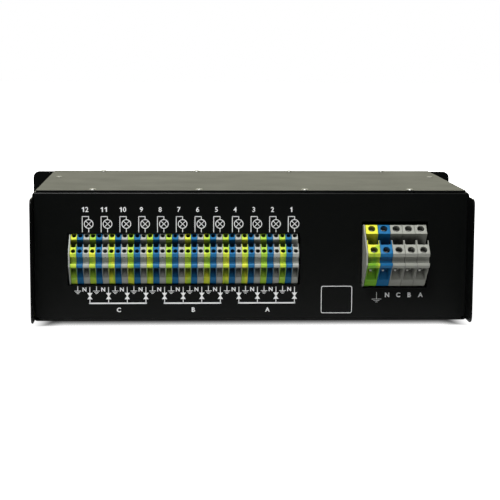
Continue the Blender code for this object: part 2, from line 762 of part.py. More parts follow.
def dmx_in():
    """Male socket: a round well with three pins."""
    mesh, front = socket_shell(SOCKET_IN_X, "dmx_in")
    well = circle(SOCKET_IN_X, SOCKET_Z, WELL_RADIUS, 20)
    mesh = cut(mesh, prism(well, front - WELL_DEPTH, front + WELL_DEPTH, along_y))
    pins = []
    for a, b in PIN_PLACES:
        pin = circle(SOCKET_IN_X + a, SOCKET_Z + b, PIN_RADIUS, 8)
        pins.append(prism(pin, front - WELL_DEPTH - MM, front - 1.5 * MM, along_y))
    return join(mesh, *pins)


def dmx_out():
    """Female socket: an insert with three bores inside a ring groove, and the latch's window."""
    mesh, front = socket_shell(SOCKET_OUT_X, "dmx_out")
    ring = circle(SOCKET_OUT_X, SOCKET_Z, RING_OUTER, 20)
    core = circle(SOCKET_OUT_X, SOCKET_Z, RING_INNER, 20)
    groove = prism(ring, front - RING_DEPTH, front + RING_DEPTH, along_y)
    insert = prism(core, front - 2 * RING_DEPTH, front + 2 * RING_DEPTH, along_y)
    mesh = cut(mesh, cut(groove, insert))
    cutters = []
    for a, b in PIN_PLACES:
        bore = circle(SOCKET_OUT_X + a, SOCKET_Z + b, PIN_BORE, 8)
        cutters.append((bore, front - 10 * MM, front + MM, along_y))
    width = LATCH_WIDTH + 2 * LATCH_PLAY
    height = LATCH_HEIGHT + 2 * LATCH_PLAY
    window = rectangle(*centred(width, height, SOCKET_OUT_X, SOCKET_Z + LATCH_RISE))
    foot = front - SOCKET_FLANGE[2] - LATCH_FOOT - LATCH_TRAVEL - 2 * GAP
    cutters.append((window, foot, front + MM, along_y))
    return cut(mesh, prisms(cutters))


def latch_tab():
    """Push tab that lets the plug go, about the middle of its foot."""
    outline = rounded_rectangle(*centred(LATCH_WIDTH, LATCH_HEIGHT), 0.6 * MM, 2)
    return prism(outline, -LATCH_FOOT, SOCKET_FLANGE[2] + LATCH_PROUD, along_y, "dmx_out_latch")


def fan_frame():
    """Square fan housing with a round duct, and a hub plate on four struts."""
    inner = BODY_WIDTH / 2 - SHEET - GAP - FAN_DEPTH
    outer = inner + FAN_DEPTH
    middle = (PANEL_Y + FAN_Y, FAN_Z)
    square = rounded_rectangle(*centred(FAN_SIZE, FAN_SIZE, *middle), 5 * MM, 3)
    mesh = prism(square, inner, outer, along_x, "fan_frame")
    mesh = cut(mesh, prism(circle(*middle, FAN_BORE, 28), inner - MM, outer + MM, along_x))
    hub = prism(circle(*middle, FAN_HUB, 16), inner, inner + FAN_PLATE, along_x)
    struts = []
    for turn in range(4):
        angle = math.radians(45 + 90 * turn)
        reach = Vector((math.cos(angle), math.sin(angle)))
        side = Vector((-reach.y, reach.x)) * FAN_STRUT / 2
        centre = Vector(middle)
        near = centre + reach * (FAN_HUB - 3 * MM)
        far = centre + reach * (FAN_BORE + 3 * MM)
        outline = [tuple(near - side), tuple(far - side), tuple(far + side), tuple(near + side)]
        struts.append(prism(outline, inner + 0.01 * MM, inner + FAN_PLATE - 0.2 * MM, along_x))
    return join(mesh, hub, *struts)


def fan_rotor():
    """Hub cup and its raked blades, about the fan's axis along X."""
    low = -FAN_DEPTH / 2 + 4 * MM
    high = FAN_DEPTH / 2 - 1.5 * MM
    hub = prism(circle(0, 0, FAN_HUB, 20), low, high, along_x, "fan_rotor")
    for blade in range(FAN_BLADES):
        hub = join(hub, fan_blade(math.tau * blade / FAN_BLADES, low + MM, high - MM))
    return smooth(hub)


def fan_blade(turn, low, high):
    """One blade: a thin plate lofted from its root in the hub to a tip that sweeps back."""
    build = bmesh.new()
    stations = ((FAN_HUB - 1.5 * MM, 0.55), (27 * MM, 0.50), (FAN_BORE - 1.6 * MM, 0.42))
    rings = []
    for radius, spread in stations:
        ring = []
        for x, lean, offset in ((low, -spread, 0), (high, spread, 0), (high, spread, 1), (low, -spread, 1)):
            angle = turn + lean / 2 + offset * FAN_BLADE / radius
            ring.append(build.verts.new((x, radius * math.cos(angle), radius * math.sin(angle))))
        rings.append(ring)
    for inner, outer in zip(rings, rings[1:]):
        for side in range(4):
            other = (side + 1) % 4
            build.faces.new((inner[side], inner[other], outer[other], outer[side]))
    build.faces.new(rings[0][::-1])
    build.faces.new(rings[-1])
    bmesh.ops.triangulate(build, faces=build.faces)
    return as_mesh(build, "blade")


def heat_sink():
    """Extruded aluminium sink: a base plate with tapered fins along X."""
    low = SHEET + SINK_LIFT
    base = low + SINK_BASE
    tip = low + SINK_HEIGHT
    taper = (FIN_FOOT - FIN_TIP) / 2
    edge = 2 * MM
    start = PANEL_Y + SINK_Y
    outline = [(start, base)]
    for index in range(FINS):
        left = start + edge + index * FIN_PITCH
        outline += [(left, base), (left + taper, tip), (left + taper + FIN_TIP, tip), (left + FIN_FOOT, base)]
    end = start + 2 * edge + (FINS - 1) * FIN_PITCH + FIN_FOOT
    outline += [(end, base), (end, low), (start, low)]
    return prism(outline, SINK_LEFT, SINK_RIGHT, along_x, "heat_sink")


def triac_board():
    """Power board over the sink, with a switching module for each channel."""
    near = PANEL_Y + POWER_BOARD_Y[0]
    far = PANEL_Y + POWER_BOARD_Y[1]
    middle = (near + far) / 2
    plate = rectangle(SINK_LEFT, SINK_RIGHT, near, far)
    mesh = prism(plate, POWER_BOARD_Z, POWER_BOARD_Z + BOARD, along_z, "triac_board")
    width, depth, height = SWITCH_SIZE
    first = (SINK_LEFT + SINK_RIGHT - (CHANNELS - 1) * SWITCH_PITCH) / 2
    for index in range(CHANNELS):
        module = rectangle(*centred(width, depth, first + index * SWITCH_PITCH, middle))
        low = POWER_BOARD_Z + BOARD / 2
        mesh = join(mesh, prism(module, low, POWER_BOARD_Z + BOARD + height, along_z))
    return mesh


def power_supply():
    """Boxed low-voltage supply with a step for its connector end."""
    width, depth, height = SUPPLY_SIZE
    near = PANEL_Y + POWER_BOARD_Y[0]
    far = near + depth
    low = SHEET + GAP
    outline = [(near, low), (far, low), (far, low + SUPPLY_STEP), (far - SUPPLY_STEP, low + SUPPLY_STEP)]
    outline += [(far - SUPPLY_STEP, low + height), (near, low + height)]
    return prism(outline, SUPPLY_LEFT, SUPPLY_LEFT + width, along_x, "power_supply")


def control_board():
    """Processor board upright behind the control module, with its processor and cable header."""
    face = PANEL_Y + FRONT_BACK - MODULE_DEPTH - CONTROL_BOARD_BACK
    middle = (MODULE_X, MODULE_Z - 12 * MM)
    plate = rectangle(*centred(CONTROL_BOARD_WIDTH, CONTROL_BOARD_HEIGHT, *middle))
    board = prism(plate, face, face + BOARD, along_y, "control_board")
    chip = rectangle(*centred(22 * MM, 22 * MM, middle[0] - 16 * MM, middle[1] - 8 * MM))
    header = rectangle(*centred(40 * MM, 9 * MM, middle[0] + 22 * MM, middle[1] - 20 * MM))
    parts = [prism(chip, face - 3 * MM, face + BOARD / 2, along_y)]
    parts.append(prism(header, face - 9 * MM, face + BOARD / 2, along_y))
    return join(board, *parts)


def build_case():
    coat = black_powder_coat()
    add_object("chassis_tray", chassis_tray(), coat)
    add_object("top_cover", top_cover(), coat)
    add_object("terminal_panel", terminal_panel(), coat)
    add_object("front_panel", front_panel(), coat)


def build_channel_strip():
    """Rail, carrier, end plate and the twelve channels' terminals, numbered from right to left."""
    rail = add_empty("channel_rail_line", (0, PANEL_Y + CHANNEL_RAIL_Y, CHANNEL_RAIL_Z), (TILT, 0, 0))
    steel = zinc_steel()
    start = CHANNEL_START - GAP - END_PLATE
    end = CHANNEL_START + CHANNELS * 3 * CHANNEL_PITCH
    steel_rail = mounting_rail(start - GAP, end + GAP, "channel_din_rail")
    add_object("channel_din_rail", steel_rail, steel, parent=rail)
    carrier = rail_carrier(CHANNEL_RAIL_Y, CHANNEL_RAIL_Z, start, end, "channel_rail_carrier")
    add_object("channel_rail_carrier", carrier, steel)
    plate = prism(mirrored(end_half(channel_half())), start, start + END_PLATE, along_x, "channel_end_plate")
    add_object("channel_end_plate", plate, terminal_grey(), parent=rail)
    block = channel_terminal_block()
    colour = terminal_grey()
    for index in range(CHANNELS):
        name = f"channel_terminals_{CHANNELS - index}"
        place = (CHANNEL_START + index * 3 * CHANNEL_PITCH, 0, 0)
        add_object(name, block, colour, place, rail)


def build_mains_strip():
    """Rail, carrier, end plate and the five mains terminals."""
    rail = add_empty("mains_rail_line", (0, PANEL_Y + MAINS_RAIL_Y, MAINS_RAIL_Z), (TILT, 0, 0))
    steel = zinc_steel()
    start = MAINS_START - GAP - END_PLATE
    end = MAINS_START + len(MAINS_NAMES) * MAINS_PITCH
    steel_rail = mounting_rail(start - GAP, end + GAP, "mains_din_rail")
    add_object("mains_din_rail", steel_rail, steel, parent=rail)
    carrier = rail_carrier(MAINS_RAIL_Y, MAINS_RAIL_Z, start, end, "mains_rail_carrier")
    add_object("mains_rail_carrier", carrier, steel)
    plate = prism(mirrored(end_half(mains_half())), start, start + END_PLATE, along_x, "mains_end_plate")
    add_object("mains_end_plate", plate, terminal_grey(), parent=rail)
    block = mains_terminal_block()
    colours = {"earth": terminal_earth(), "neutral": terminal_blue()}
    grey = terminal_grey()
    for index, name in enumerate(MAINS_NAMES):
        place = (MAINS_START + index * MAINS_PITCH, 0, 0)
        add_object(f"mains_terminal_{name}", block.copy(), colours.get(name, grey), place, rail)


def build_breakers():
    """Breaker rail and its two stand-offs, the ganged breakers and their toggles."""
    steel = zinc_steel()
    half = BREAKERS * BREAKER_WIDTH / 2
    back = NOSE_FACE - BREAKER_NOSE
    rail = add_empty("breaker_rail_line", (0, PANEL_Y + back - RAIL_HEIGHT - GAP, BREAKER_Z),
                     (-math.pi / 2, 0, 0))
    reach = half + 10 * MM
    steel_rail = mounting_rail(BREAKER_MIDDLE_X - reach, BREAKER_MIDDLE_X + reach, "breaker_din_rail")
    add_object("breaker_din_rail", steel_rail, steel, parent=rail)
    for name, side in (("left", -1), ("right", 1)):
        add_object(f"breaker_rail_post_{name}", rail_post(BREAKER_MIDDLE_X + side * (half + 5 * MM)), steel)
    white = breaker_white()
    for bank in range(BREAKERS // BREAKERS_PER_BANK):
        add_object(f"breaker_bank_{bank + 1}", breaker_bank(bank * BREAKERS_PER_BANK), white)
    toggle = breaker_toggle()
    black = toggle_black()
    for index in range(BREAKERS):
        place = (toggle_x(index), PANEL_Y + TOGGLE_AXIS_Y, BREAKER_Z)
        item = add_object(f"breaker_toggle_{BREAKERS - index}", toggle, black, place)
        item.rotation_euler = (TOGGLE_REST, 0, 0)


def rail_post(x):
    """Angle bracket that stands on the floor and carries one end of the breaker rail."""
    face = PANEL_Y + NOSE_FACE - BREAKER_NOSE - RAIL_HEIGHT - 2 * GAP - BRACKET / 2
    floor = SHEET + GAP + BRACKET / 2
    points = [(face - POST_FOOT, floor), (face, floor), (face, BREAKER_Z + RAIL_BASE / 2)]
    half = POST_WIDTH / 2
    return prism(strip(points, BRACKET), x - half, x + half, along_x, "breaker_rail_post")


def build_controls():
    """Control module with its window and buttons, the two sockets and the latch tab."""
    add_object("control_module", control_module(), control_plastic())
    add_object("display_window", display_window(), display_glass())
    cap = control_button()
    grey = button_grey()
    for index, name in enumerate(BUTTONS):
        place = (button_x(index), PANEL_Y + FRONT_FACE + GAP + BEZEL, MODULE_Z - BUTTON_DROP)
        add_object(f"button_{name}", cap, grey, place)
    nickel = socket_nickel()
    add_object("dmx_in", dmx_in(), nickel)
    add_object("dmx_out", dmx_out(), nickel)
    place = (SOCKET_OUT_X, PANEL_Y + FRONT_FACE + GAP, SOCKET_Z + LATCH_RISE)
    add_object("dmx_out_latch", latch_tab(), nickel, place)


def build_inside():
    """Fan, heat sink, boards and power supply."""
    plastic = fan_plastic()
    add_object("fan_frame", fan_frame(), plastic)
    middle_x = BODY_WIDTH / 2 - SHEET - GAP - FAN_DEPTH / 2
    add_object("fan_rotor", fan_rotor(), plastic, (middle_x, PANEL_Y + FAN_Y, FAN_Z))
    add_object("heat_sink", heat_sink(), bare_aluminium())
    green = board_green()
    add_object("triac_board", triac_board(), green)
    add_object("control_board", control_board(), green)
    add_object("power_supply", power_supply(), zinc_steel())


def main():
    clear_scene()
    build_case()
    build_channel_strip()
    build_mains_strip()
    build_breakers()
    build_controls()
    build_inside()


main()
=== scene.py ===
# %% [markdown]
# A rack switch pack, three units high, seen from its terminal side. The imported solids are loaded
# first and give every place and size. What shows plainly is then made finer or gets its finish:
# a black powder-coated case, rows of coloured rail terminals, white printed circuit marks, and on
# the other side the breakers, the display and the data sockets.

# %% Load the solids
import math

import bmesh
import bpy
from mathutils import Matrix, Vector


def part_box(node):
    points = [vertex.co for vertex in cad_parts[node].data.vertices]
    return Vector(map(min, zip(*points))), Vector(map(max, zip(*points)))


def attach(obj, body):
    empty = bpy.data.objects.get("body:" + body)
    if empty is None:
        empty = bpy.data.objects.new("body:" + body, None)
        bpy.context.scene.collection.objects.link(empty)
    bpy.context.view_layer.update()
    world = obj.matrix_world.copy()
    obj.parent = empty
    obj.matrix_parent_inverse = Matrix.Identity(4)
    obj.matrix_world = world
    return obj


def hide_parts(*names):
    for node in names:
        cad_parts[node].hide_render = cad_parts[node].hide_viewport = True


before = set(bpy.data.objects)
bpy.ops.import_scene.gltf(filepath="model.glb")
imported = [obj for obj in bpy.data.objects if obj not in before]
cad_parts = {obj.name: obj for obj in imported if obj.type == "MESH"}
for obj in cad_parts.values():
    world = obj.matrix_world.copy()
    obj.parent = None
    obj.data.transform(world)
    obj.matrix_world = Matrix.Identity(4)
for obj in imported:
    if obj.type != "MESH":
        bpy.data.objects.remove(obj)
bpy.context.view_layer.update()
MM = 0.001
panel_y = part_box("terminal_panel")[0].y
front_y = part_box("front_panel")[1].y
cover_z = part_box("top_cover")[1].z
print("terminal panel at", round(panel_y / MM, 2), "front panel at", round(front_y / MM, 2))

# %% [markdown]
# The camera comes first, because everything after it is judged through it. The photograph was
# taken from about a metre and a half, a little left of the middle and 8 degrees above. A camera
# can be aimed at a target or given its angles. The angles were worked out from the outline of the
# case, so they are simply set.

# %% Camera
CAMERA_PLACE = (-72.45 * MM, panel_y - 1456.6 * MM, 277.8 * MM)
CAMERA_TURN = (math.radians(81.974), math.radians(-0.312), math.radians(-2.726))
LENS = 105.04


def in_scene(name, data):
    """A new object, linked to the scene."""
    item = bpy.data.objects.new(name, data)
    bpy.context.scene.collection.objects.link(item)
    return item


camera = in_scene("camera", bpy.data.cameras.new("camera"))
camera.location = CAMERA_PLACE
camera.rotation_euler = CAMERA_TURN
camera.data.lens = LENS
camera.data.sensor_width = 36
camera.data.clip_start = 0.05
camera.data.clip_end = 60
bpy.context.scene.camera = camera
bpy.context.scene.view_settings.view_transform = "Standard"
print("camera at", [round(v, 3) for v in camera.location])

# %% [markdown]
# The room is a white sweep, and the black coat shows little but what it mirrors. So the world is
# white towards the far side, which greys the top cover at its flat angle, and dark towards the
# camera. A world can be one colour, a gradient or a picture. Here it is a gradient along Y, and the
# light path tells the rays apart: white for the camera, the gradient for gloss, faint for the rest.

# %% Room
ROOM_BEHIND = (1.05, 1.05, 0.84, 1)
ROOM_NEAR = (0.01, 0.01, 0.01, 1)
ROOM_FILL = (0.03, 0.03, 0.03, 1)
ROOM_TURN = (-0.25, 0.55)


def new_nodes(owner):
    """The emptied node tree of a material or world."""
    owner.use_nodes = True
    owner.node_tree.nodes.clear()
    return owner.node_tree


def node(tree, kind, sockets=None, **settings):
    """A new node with its settings, its sockets set to values or joined to other nodes' outputs."""
    made = tree.nodes.new(kind)
    for name, value in settings.items():
        setattr(made, name, value)
    for socket, value in (sockets or {}).items():
        if isinstance(value, bpy.types.NodeSocket):
            tree.links.new(value, made.inputs[socket])
        else:
            made.inputs[socket].default_value = value
    return made


def maths(tree, operation, *values):
    """Result of a Math node on numbers and other nodes' outputs."""
    return node(tree, "ShaderNodeMath", dict(enumerate(values)), operation=operation).outputs[0]


def ramp(tree, value, start, end, kind="SMOOTHSTEP"):
    """Nought to one while the value goes from start to end."""
    limits = {"Value": value, "From Min": start, "From Max": end}
    return node(tree, "ShaderNodeMapRange", limits, interpolation_type=kind).outputs["Result"]


def blend(tree, kind, factor, first, second):
    """The first value or colour where the factor is nought, the second where it is one."""
    mixed = node(tree, "ShaderNodeMix", {"Factor": factor, "A": first, "B": second}, data_type=kind)
    return mixed.outputs["Result"]


world = bpy.data.worlds.new("room")
bpy.context.scene.world = world
tree = new_nodes(world)
path = node(tree, "ShaderNodeLightPath")
direction = node(tree, "ShaderNodeTexCoord")
split = node(tree, "ShaderNodeSeparateXYZ", {0: direction.outputs["Generated"]})
gradient = blend(tree, "RGBA", ramp(tree, split.outputs["Y"], *ROOM_TURN), ROOM_NEAR, ROOM_BEHIND)
unseen = blend(tree, "RGBA", path.outputs["Is Glossy Ray"], ROOM_FILL, gradient)
seen = maths(tree, "MAXIMUM", path.outputs["Is Camera Ray"], path.outputs["Is Transmission Ray"])
shade = node(tree, "ShaderNodeBackground", {"Color": blend(tree, "RGBA", seen, unseen, (1, 1, 1, 1))})
node(tree, "ShaderNodeOutputWorld", {"Surface": shade.outputs[0]})
print("room of", len(tree.nodes), "nodes")

# %% [markdown]
# The floor is plain pale paper: white to the camera, darker to the light that bounces from it. Its
# shadow comes from the lamps, and soft lamps leave the foot of a case too pale. A harder lamp would
# spoil the rest, so a painted contact shadow, from a short ambient occlusion, deepens the strip under
# the panel, and nowhere else. The paper is also painted brighter near the case for the rays the coat
# mirrors, a painted pool of light that lightens the foot of the panel.

# %% Floor
FLOOR_SEEN = 0.12
FLOOR_GLOW = 1.02
FLOOR_BOUNCE = 0.48
FLOOR_FADE = (0.3, 1.1)
FLOOR_HALF = 9.0
# The painted contact shadow: its reach, its power, and the strip under the panel it keeps to.
CONTACT_REACH = 0.03
CONTACT_POWER = 4.0
CONTACT_SIDES = (0.197, 0.222)
CONTACT_FRONT = (-0.122, -0.139)
# The painted pool of light near the case, seen only in what the coat mirrors.
MIRRORED_FAR = 0.07
MIRRORED_NEAR = 0.85
MIRRORED_REACH = 0.8
MIRRORED_POWER = 4.0
MIRRORED_SIDES = (0.25, 0.19)

floor_finish = bpy.data.materials.new("floor_paper")
tree = new_nodes(floor_finish)
path = node(tree, "ShaderNodeLightPath")
place = node(tree, "ShaderNodeTexCoord")
across = node(tree, "ShaderNodeSeparateXYZ", {0: place.outputs["Object"]})
sideways = maths(tree, "ABSOLUTE", across.outputs["X"])

# Painted contact shadow: ambient occlusion darkens the paper, only in the strip under the panel.
contact = node(tree, "ShaderNodeAmbientOcclusion", {"Distance": CONTACT_REACH})
outside = maths(tree, "MAXIMUM", ramp(tree, sideways, *CONTACT_SIDES),
                ramp(tree, across.outputs["Y"], *CONTACT_FRONT))
painted_contact_shadow = maths(tree, "MAXIMUM", maths(tree, "POWER", contact.outputs["AO"], CONTACT_POWER), outside)

# Painted pool of light: the paper the coat mirrors is brighter near the middle of the case.
nearness = ramp(tree, across.outputs["Y"], panel_y - MIRRORED_REACH, panel_y, "LINEAR")
painted_reflection_pool = maths(tree, "MULTIPLY", maths(tree, "POWER", nearness, MIRRORED_POWER),
                    ramp(tree, sideways, *MIRRORED_SIDES))
mirrored = maths(tree, "MULTIPLY_ADD", painted_reflection_pool, MIRRORED_NEAR, MIRRORED_FAR)
bounced = blend(tree, "FLOAT", path.outputs["Is Glossy Ray"], FLOOR_BOUNCE, mirrored)
lit_paper = maths(tree, "MULTIPLY", painted_contact_shadow, FLOOR_SEEN)
paper = node(tree, "ShaderNodeBsdfDiffuse", {
    "Color": blend(tree, "FLOAT", path.outputs["Is Camera Ray"], bounced, lit_paper)})

distance = node(tree, "ShaderNodeVectorMath", {0: place.outputs["Object"]}, operation="LENGTH")
white = maths(tree, "ADD", ramp(tree, distance.outputs["Value"], *FLOOR_FADE),
              maths(tree, "MULTIPLY", painted_contact_shadow, FLOOR_GLOW))
glow = node(tree, "ShaderNodeEmission", {
    "Strength": maths(tree, "MULTIPLY", white, path.outputs["Is Camera Ray"])})
both = node(tree, "ShaderNodeAddShader", {0: paper.outputs[0], 1: glow.outputs[0]})
node(tree, "ShaderNodeOutputMaterial", {"Surface": both.outputs[0]})

floor_mesh = bpy.data.meshes.new("floor")
corners = [(-FLOOR_HALF, -FLOOR_HALF, 0), (FLOOR_HALF, -FLOOR_HALF, 0),
           (FLOOR_HALF, FLOOR_HALF, 0), (-FLOOR_HALF, FLOOR_HALF, 0)]
floor_mesh.from_pydata(corners, [], [(0, 1, 2, 3)])
floor_mesh.materials.append(floor_finish)
floor = in_scene("floor", floor_mesh)
floor.location.z = -0.1 * MM
print("floor", 2 * FLOOR_HALF, "m wide")

# %% [markdown]
# Four square lamps light the case. The key lamp stands high in front, so its light runs straight
# into the tilted screw faces and leaves the slots and wire funnels dark. Two weak ones soften its
# shadows. The one behind lights the cover, and is left out of what the coat mirrors, because its
# square would show there as a pale patch.

# %% Lamps
def lamp(name, place, aim, size, power, mirrored=True):
    """Square soft lamp that looks at a point."""
    data = bpy.data.lights.new(name, "AREA")
    data.shape = "SQUARE"
    data.size = size
    data.energy = power
    item = in_scene(name, data)
    item.location = place
    item.rotation_euler = (Vector(aim) - Vector(place)).to_track_quat("-Z", "Y").to_euler()
    item.visible_glossy = mirrored
    print(name, power, "W")


lamp("lamp_key", (-0.30, -1.58, 1.96), (0, -0.1, 0.07), 0.6, 55)
lamp("lamp_above", (-0.25, -0.1, 2.2), (0, 0, 0), 1.5, 8)
lamp("lamp_left", (-2.0, -0.5, 1.2), (0, -0.1, 0.05), 0.9, 3)
lamp("lamp_behind", (0.9, 2.0, 1.5), (0, 0.1, 0.06), 0.9, 42, mirrored=False)

# %% [markdown]
# Nearly every shape here starts as a flat outline. Points could be typed one by one, but arcs and
# rounded rectangles come back all through the case, so small functions give them. An outline is
# then stood up along X, Y or Z.

# %% Outlines and directions
def arc(a, b, radius, start, end, steps):
    """Points of an arc between two angles in degrees."""
    turns = [math.radians(start + (end - start) * step / steps) for step in range(steps + 1)]
    return [(a + radius * math.cos(turn), b + radius * math.sin(turn)) for turn in turns]


def circle(a, b, radius, steps=32):
    return arc(a, b, radius, 0, 360, steps)[:-1]


def rectangle(left, right, low, high):
    return [(left, low), (right, low), (right, high), (left, high)]


def rounded(left, right, low, high, radius, steps=5):
    """Rectangle with round corners, from the upper right one round."""
    middles = ((right - radius, high - radius), (left + radius, high - radius),
               (left + radius, low + radius), (right - radius, low + radius))
    return [point for turn, middle in enumerate(middles)
            for point in arc(*middle, radius, 90 * turn, 90 * turn + 90, steps)]


def millimetres(points):
    """Points given in millimetres, in metres."""
    return [(a * MM, b * MM) for a, b in points]


def along_x(a, b, d):
    return Vector((d, a, b))


def along_y(a, b, d):
    return Vector((a, d, b))


def along_z(a, b, d):
    return Vector((a, b, d))


print("a rounded rectangle has", len(rounded(0, 1, 0, 1, 0.1)), "points")

# %% [markdown]
# An outline becomes solid by being pushed along a line or turned about one. Both are done on an
# editable mesh, and every result is a closed mesh whose faces point outwards.

# %% Pushed and turned shapes
def as_mesh(build, outward=True):
    """The plain mesh of a bmesh, with its faces turned outwards first."""
    if outward:
        bmesh.ops.recalc_face_normals(build, faces=build.faces)
    mesh = bpy.data.meshes.new("shape")
    build.to_mesh(mesh)
    build.free()
    return mesh


def prisms(parts):
    """One mesh of closed prisms, each given as (outline, start, end, direction)."""
    build = bmesh.new()
    for outline, start, end, direction in parts:
        ring = [build.verts.new(direction(a, b, start)) for a, b in outline]
        grown = bmesh.ops.extrude_face_region(build, geom=[build.faces.new(ring)])
        moved = [item for item in grown["geom"] if isinstance(item, bmesh.types.BMVert)]
        bmesh.ops.translate(build, vec=direction(0, 0, end - start), verts=moved)
    return as_mesh(build)


def prism(outline, start, end, direction):
    return prisms([(outline, start, end, direction)])


def turned(profile, steps, place):
    """Turn a profile of (radius, distance) about Y and move it to a place."""
    build = bmesh.new()
    points = [build.verts.new((radius, distance, 0)) for radius, distance in profile]
    edges = [build.edges.new(pair) for pair in zip(points, points[1:])]
    bmesh.ops.spin(build, geom=points + edges, cent=(0, 0, 0), axis=(0, 1, 0), dvec=(0, 0, 0),
                   angle=math.tau, steps=steps, use_merge=True)
    bmesh.ops.remove_doubles(build, verts=build.verts, dist=1e-6)
    bmesh.ops.translate(build, vec=place, verts=build.verts)
    return as_mesh(build)


print("a round prism has", len(prism(circle(0, 0, MM), 0, MM, along_z).polygons), "faces")

# %% [markdown]
# Cuts and soft edges are modifiers, as in modelling by hand. The exact boolean solver leaves closed
# meshes, and a bevel by angle rounds only the real edges. Each modifier is set on a work object, and
# the evaluated result is taken as a plain mesh.

# %% Cuts and soft edges
def evaluated(mesh, prepare):
    """The mesh after the modifiers that prepare adds to it."""
    item = in_scene("work", mesh)
    helpers = prepare(item) or []
    graph = bpy.context.evaluated_depsgraph_get()
    result = bpy.data.meshes.new_from_object(item.evaluated_get(graph), depsgraph=graph)
    for gone in [item, *helpers]:
        bpy.data.objects.remove(gone, do_unlink=True)
    return result


def boolean(mesh, other, operation):
    def prepare(item):
        tool = in_scene("tool", other)
        step = item.modifiers.new("step", "BOOLEAN")
        step.operation = operation
        step.object = tool
        step.solver = "EXACT"
        return [tool]
    return evaluated(mesh, prepare)


def cut(mesh, *others):
    for other in others:
        mesh = boolean(mesh, other, "DIFFERENCE")
    return mesh


def fuse(mesh, *others):
    for other in others:
        mesh = boolean(mesh, other, "UNION")
    return mesh


def softened(mesh, width, segments=2, angle=34):
    """Rounded edges where two faces meet at more than the angle, and flat faces that stay flat."""
    def prepare(item):
        step = item.modifiers.new("edge", "BEVEL")
        step.width = width
        step.segments = segments
        step.limit_method = "ANGLE"
        step.angle_limit = math.radians(angle)
        step = item.modifiers.new("shade", "WEIGHTED_NORMAL")
        step.weight = 100
        step.keep_sharp = True
    mesh.shade_smooth()
    return evaluated(mesh, prepare)


box = prism(rectangle(0, MM, 0, MM), 0, MM, along_z)
print("a softened box has", len(softened(box, 0.1 * MM).polygons), "faces")

# %% [markdown]
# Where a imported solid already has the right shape, its mesh is copied instead of drawn again. It
# arrives as loose triangles, so its points are welded and its flat faces made whole. Every finished
# mesh then becomes a piece: it gets its finish, rides on a body and stands for the solids it hides.

# %% Copies of solids, and pieces
def of_node(name):
    """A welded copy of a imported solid's mesh, with its flat faces whole again."""
    build = bmesh.new()
    build.from_mesh(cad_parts[name].data)
    bmesh.ops.remove_doubles(build, verts=build.verts, dist=2e-6)
    bmesh.ops.dissolve_limit(build, angle_limit=math.radians(0.6), verts=build.verts, edges=build.edges)
    return as_mesh(build, outward=False)


def joined(meshes):
    """Several meshes as one."""
    build = bmesh.new()
    for mesh in meshes:
        build.from_mesh(mesh)
    return as_mesh(build, outward=False)


def piece(name, mesh, finish, nodes=(), body="case"):
    """Put a finished mesh in the scene, on its body, in place of the solids it stands for."""
    mesh.name = name
    mesh.materials.clear()
    mesh.materials.append(finish)
    item = in_scene(name, mesh)
    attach(item, body)
    if nodes:
        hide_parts(*nodes)
    print(name, len(mesh.polygons), "faces")


print(len(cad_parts), "solids to work from")

# %% [markdown]
# Most finishes here are moulded plastic or coated sheet, and differ in colour, gloss and grain.
# One function could make them all, with a fine noise for the grain of the surface and a slow one
# for handling marks. What is constant stays on the shader's own sockets, so it can be read there.
# Plastic terminals also get painted shade in their slots and bores, which ambient occlusion finds.

# %% Coats and plastics
# Reach of the painted shade in slots and bores, longer in the wider mains terminals.
HOLLOW = 16 * MM
MAINS_HOLLOW = 24 * MM


def darker_inside(tree, shader, reach):
    """Painted shade: lets the colour fall off in slots and bores that are narrower than the reach."""
    hollow = node(tree, "ShaderNodeAmbientOcclusion", {"Distance": reach}, samples=8)
    deep = node(tree, "ShaderNodeMapRange", {
        "Value": hollow.outputs["AO"], "From Min": 0.15, "From Max": 0.55, "To Min": 0.1},
        interpolation_type="SMOOTHSTEP")
    base = shader.inputs["Base Color"]
    colour = base.links[0].from_socket if base.links else base.default_value[:3]
    shaded_colour = node(tree, "ShaderNodeVectorMath", {0: colour, "Scale": deep.outputs["Result"]}, operation="SCALE")
    tree.links.new(shaded_colour.outputs["Vector"], base)


def surface(name, colour, roughness, grain=0.5, depth=0.01, worn=0.05, metallic=0.0, specular=0.5, shade=0.0):
    """Finish with a grain of that size and depth in millimetres, and a slow change in gloss."""
    made = bpy.data.materials.new(name)
    tree = new_nodes(made)
    place = node(tree, "ShaderNodeTexCoord").outputs["Object"]
    slow = node(tree, "ShaderNodeTexNoise", {"Vector": place, "Scale": 24, "Detail": 3})
    gloss = node(tree, "ShaderNodeMapRange", {
        "Value": slow.outputs[0], "To Min": roughness - worn, "To Max": roughness + worn})
    fine = node(tree, "ShaderNodeTexNoise", {"Vector": place, "Scale": 1 / (grain * MM), "Detail": 2})
    bump = node(tree, "ShaderNodeBump", {"Height": fine.outputs[0], "Distance": depth * MM, "Strength": 0.6})
    shader = node(tree, "ShaderNodeBsdfPrincipled", {
        "Base Color": (*colour, 1), "Metallic": metallic, "Specular IOR Level": specular,
        "Roughness": gloss.outputs["Result"], "Normal": bump.outputs["Normal"]})
    node(tree, "ShaderNodeOutputMaterial", {"Surface": shader.outputs[0]})
    # Where shade is given, painted shade darkens the colour in slots and bores.
    if shade:
        darker_inside(tree, shader, shade)
    return made


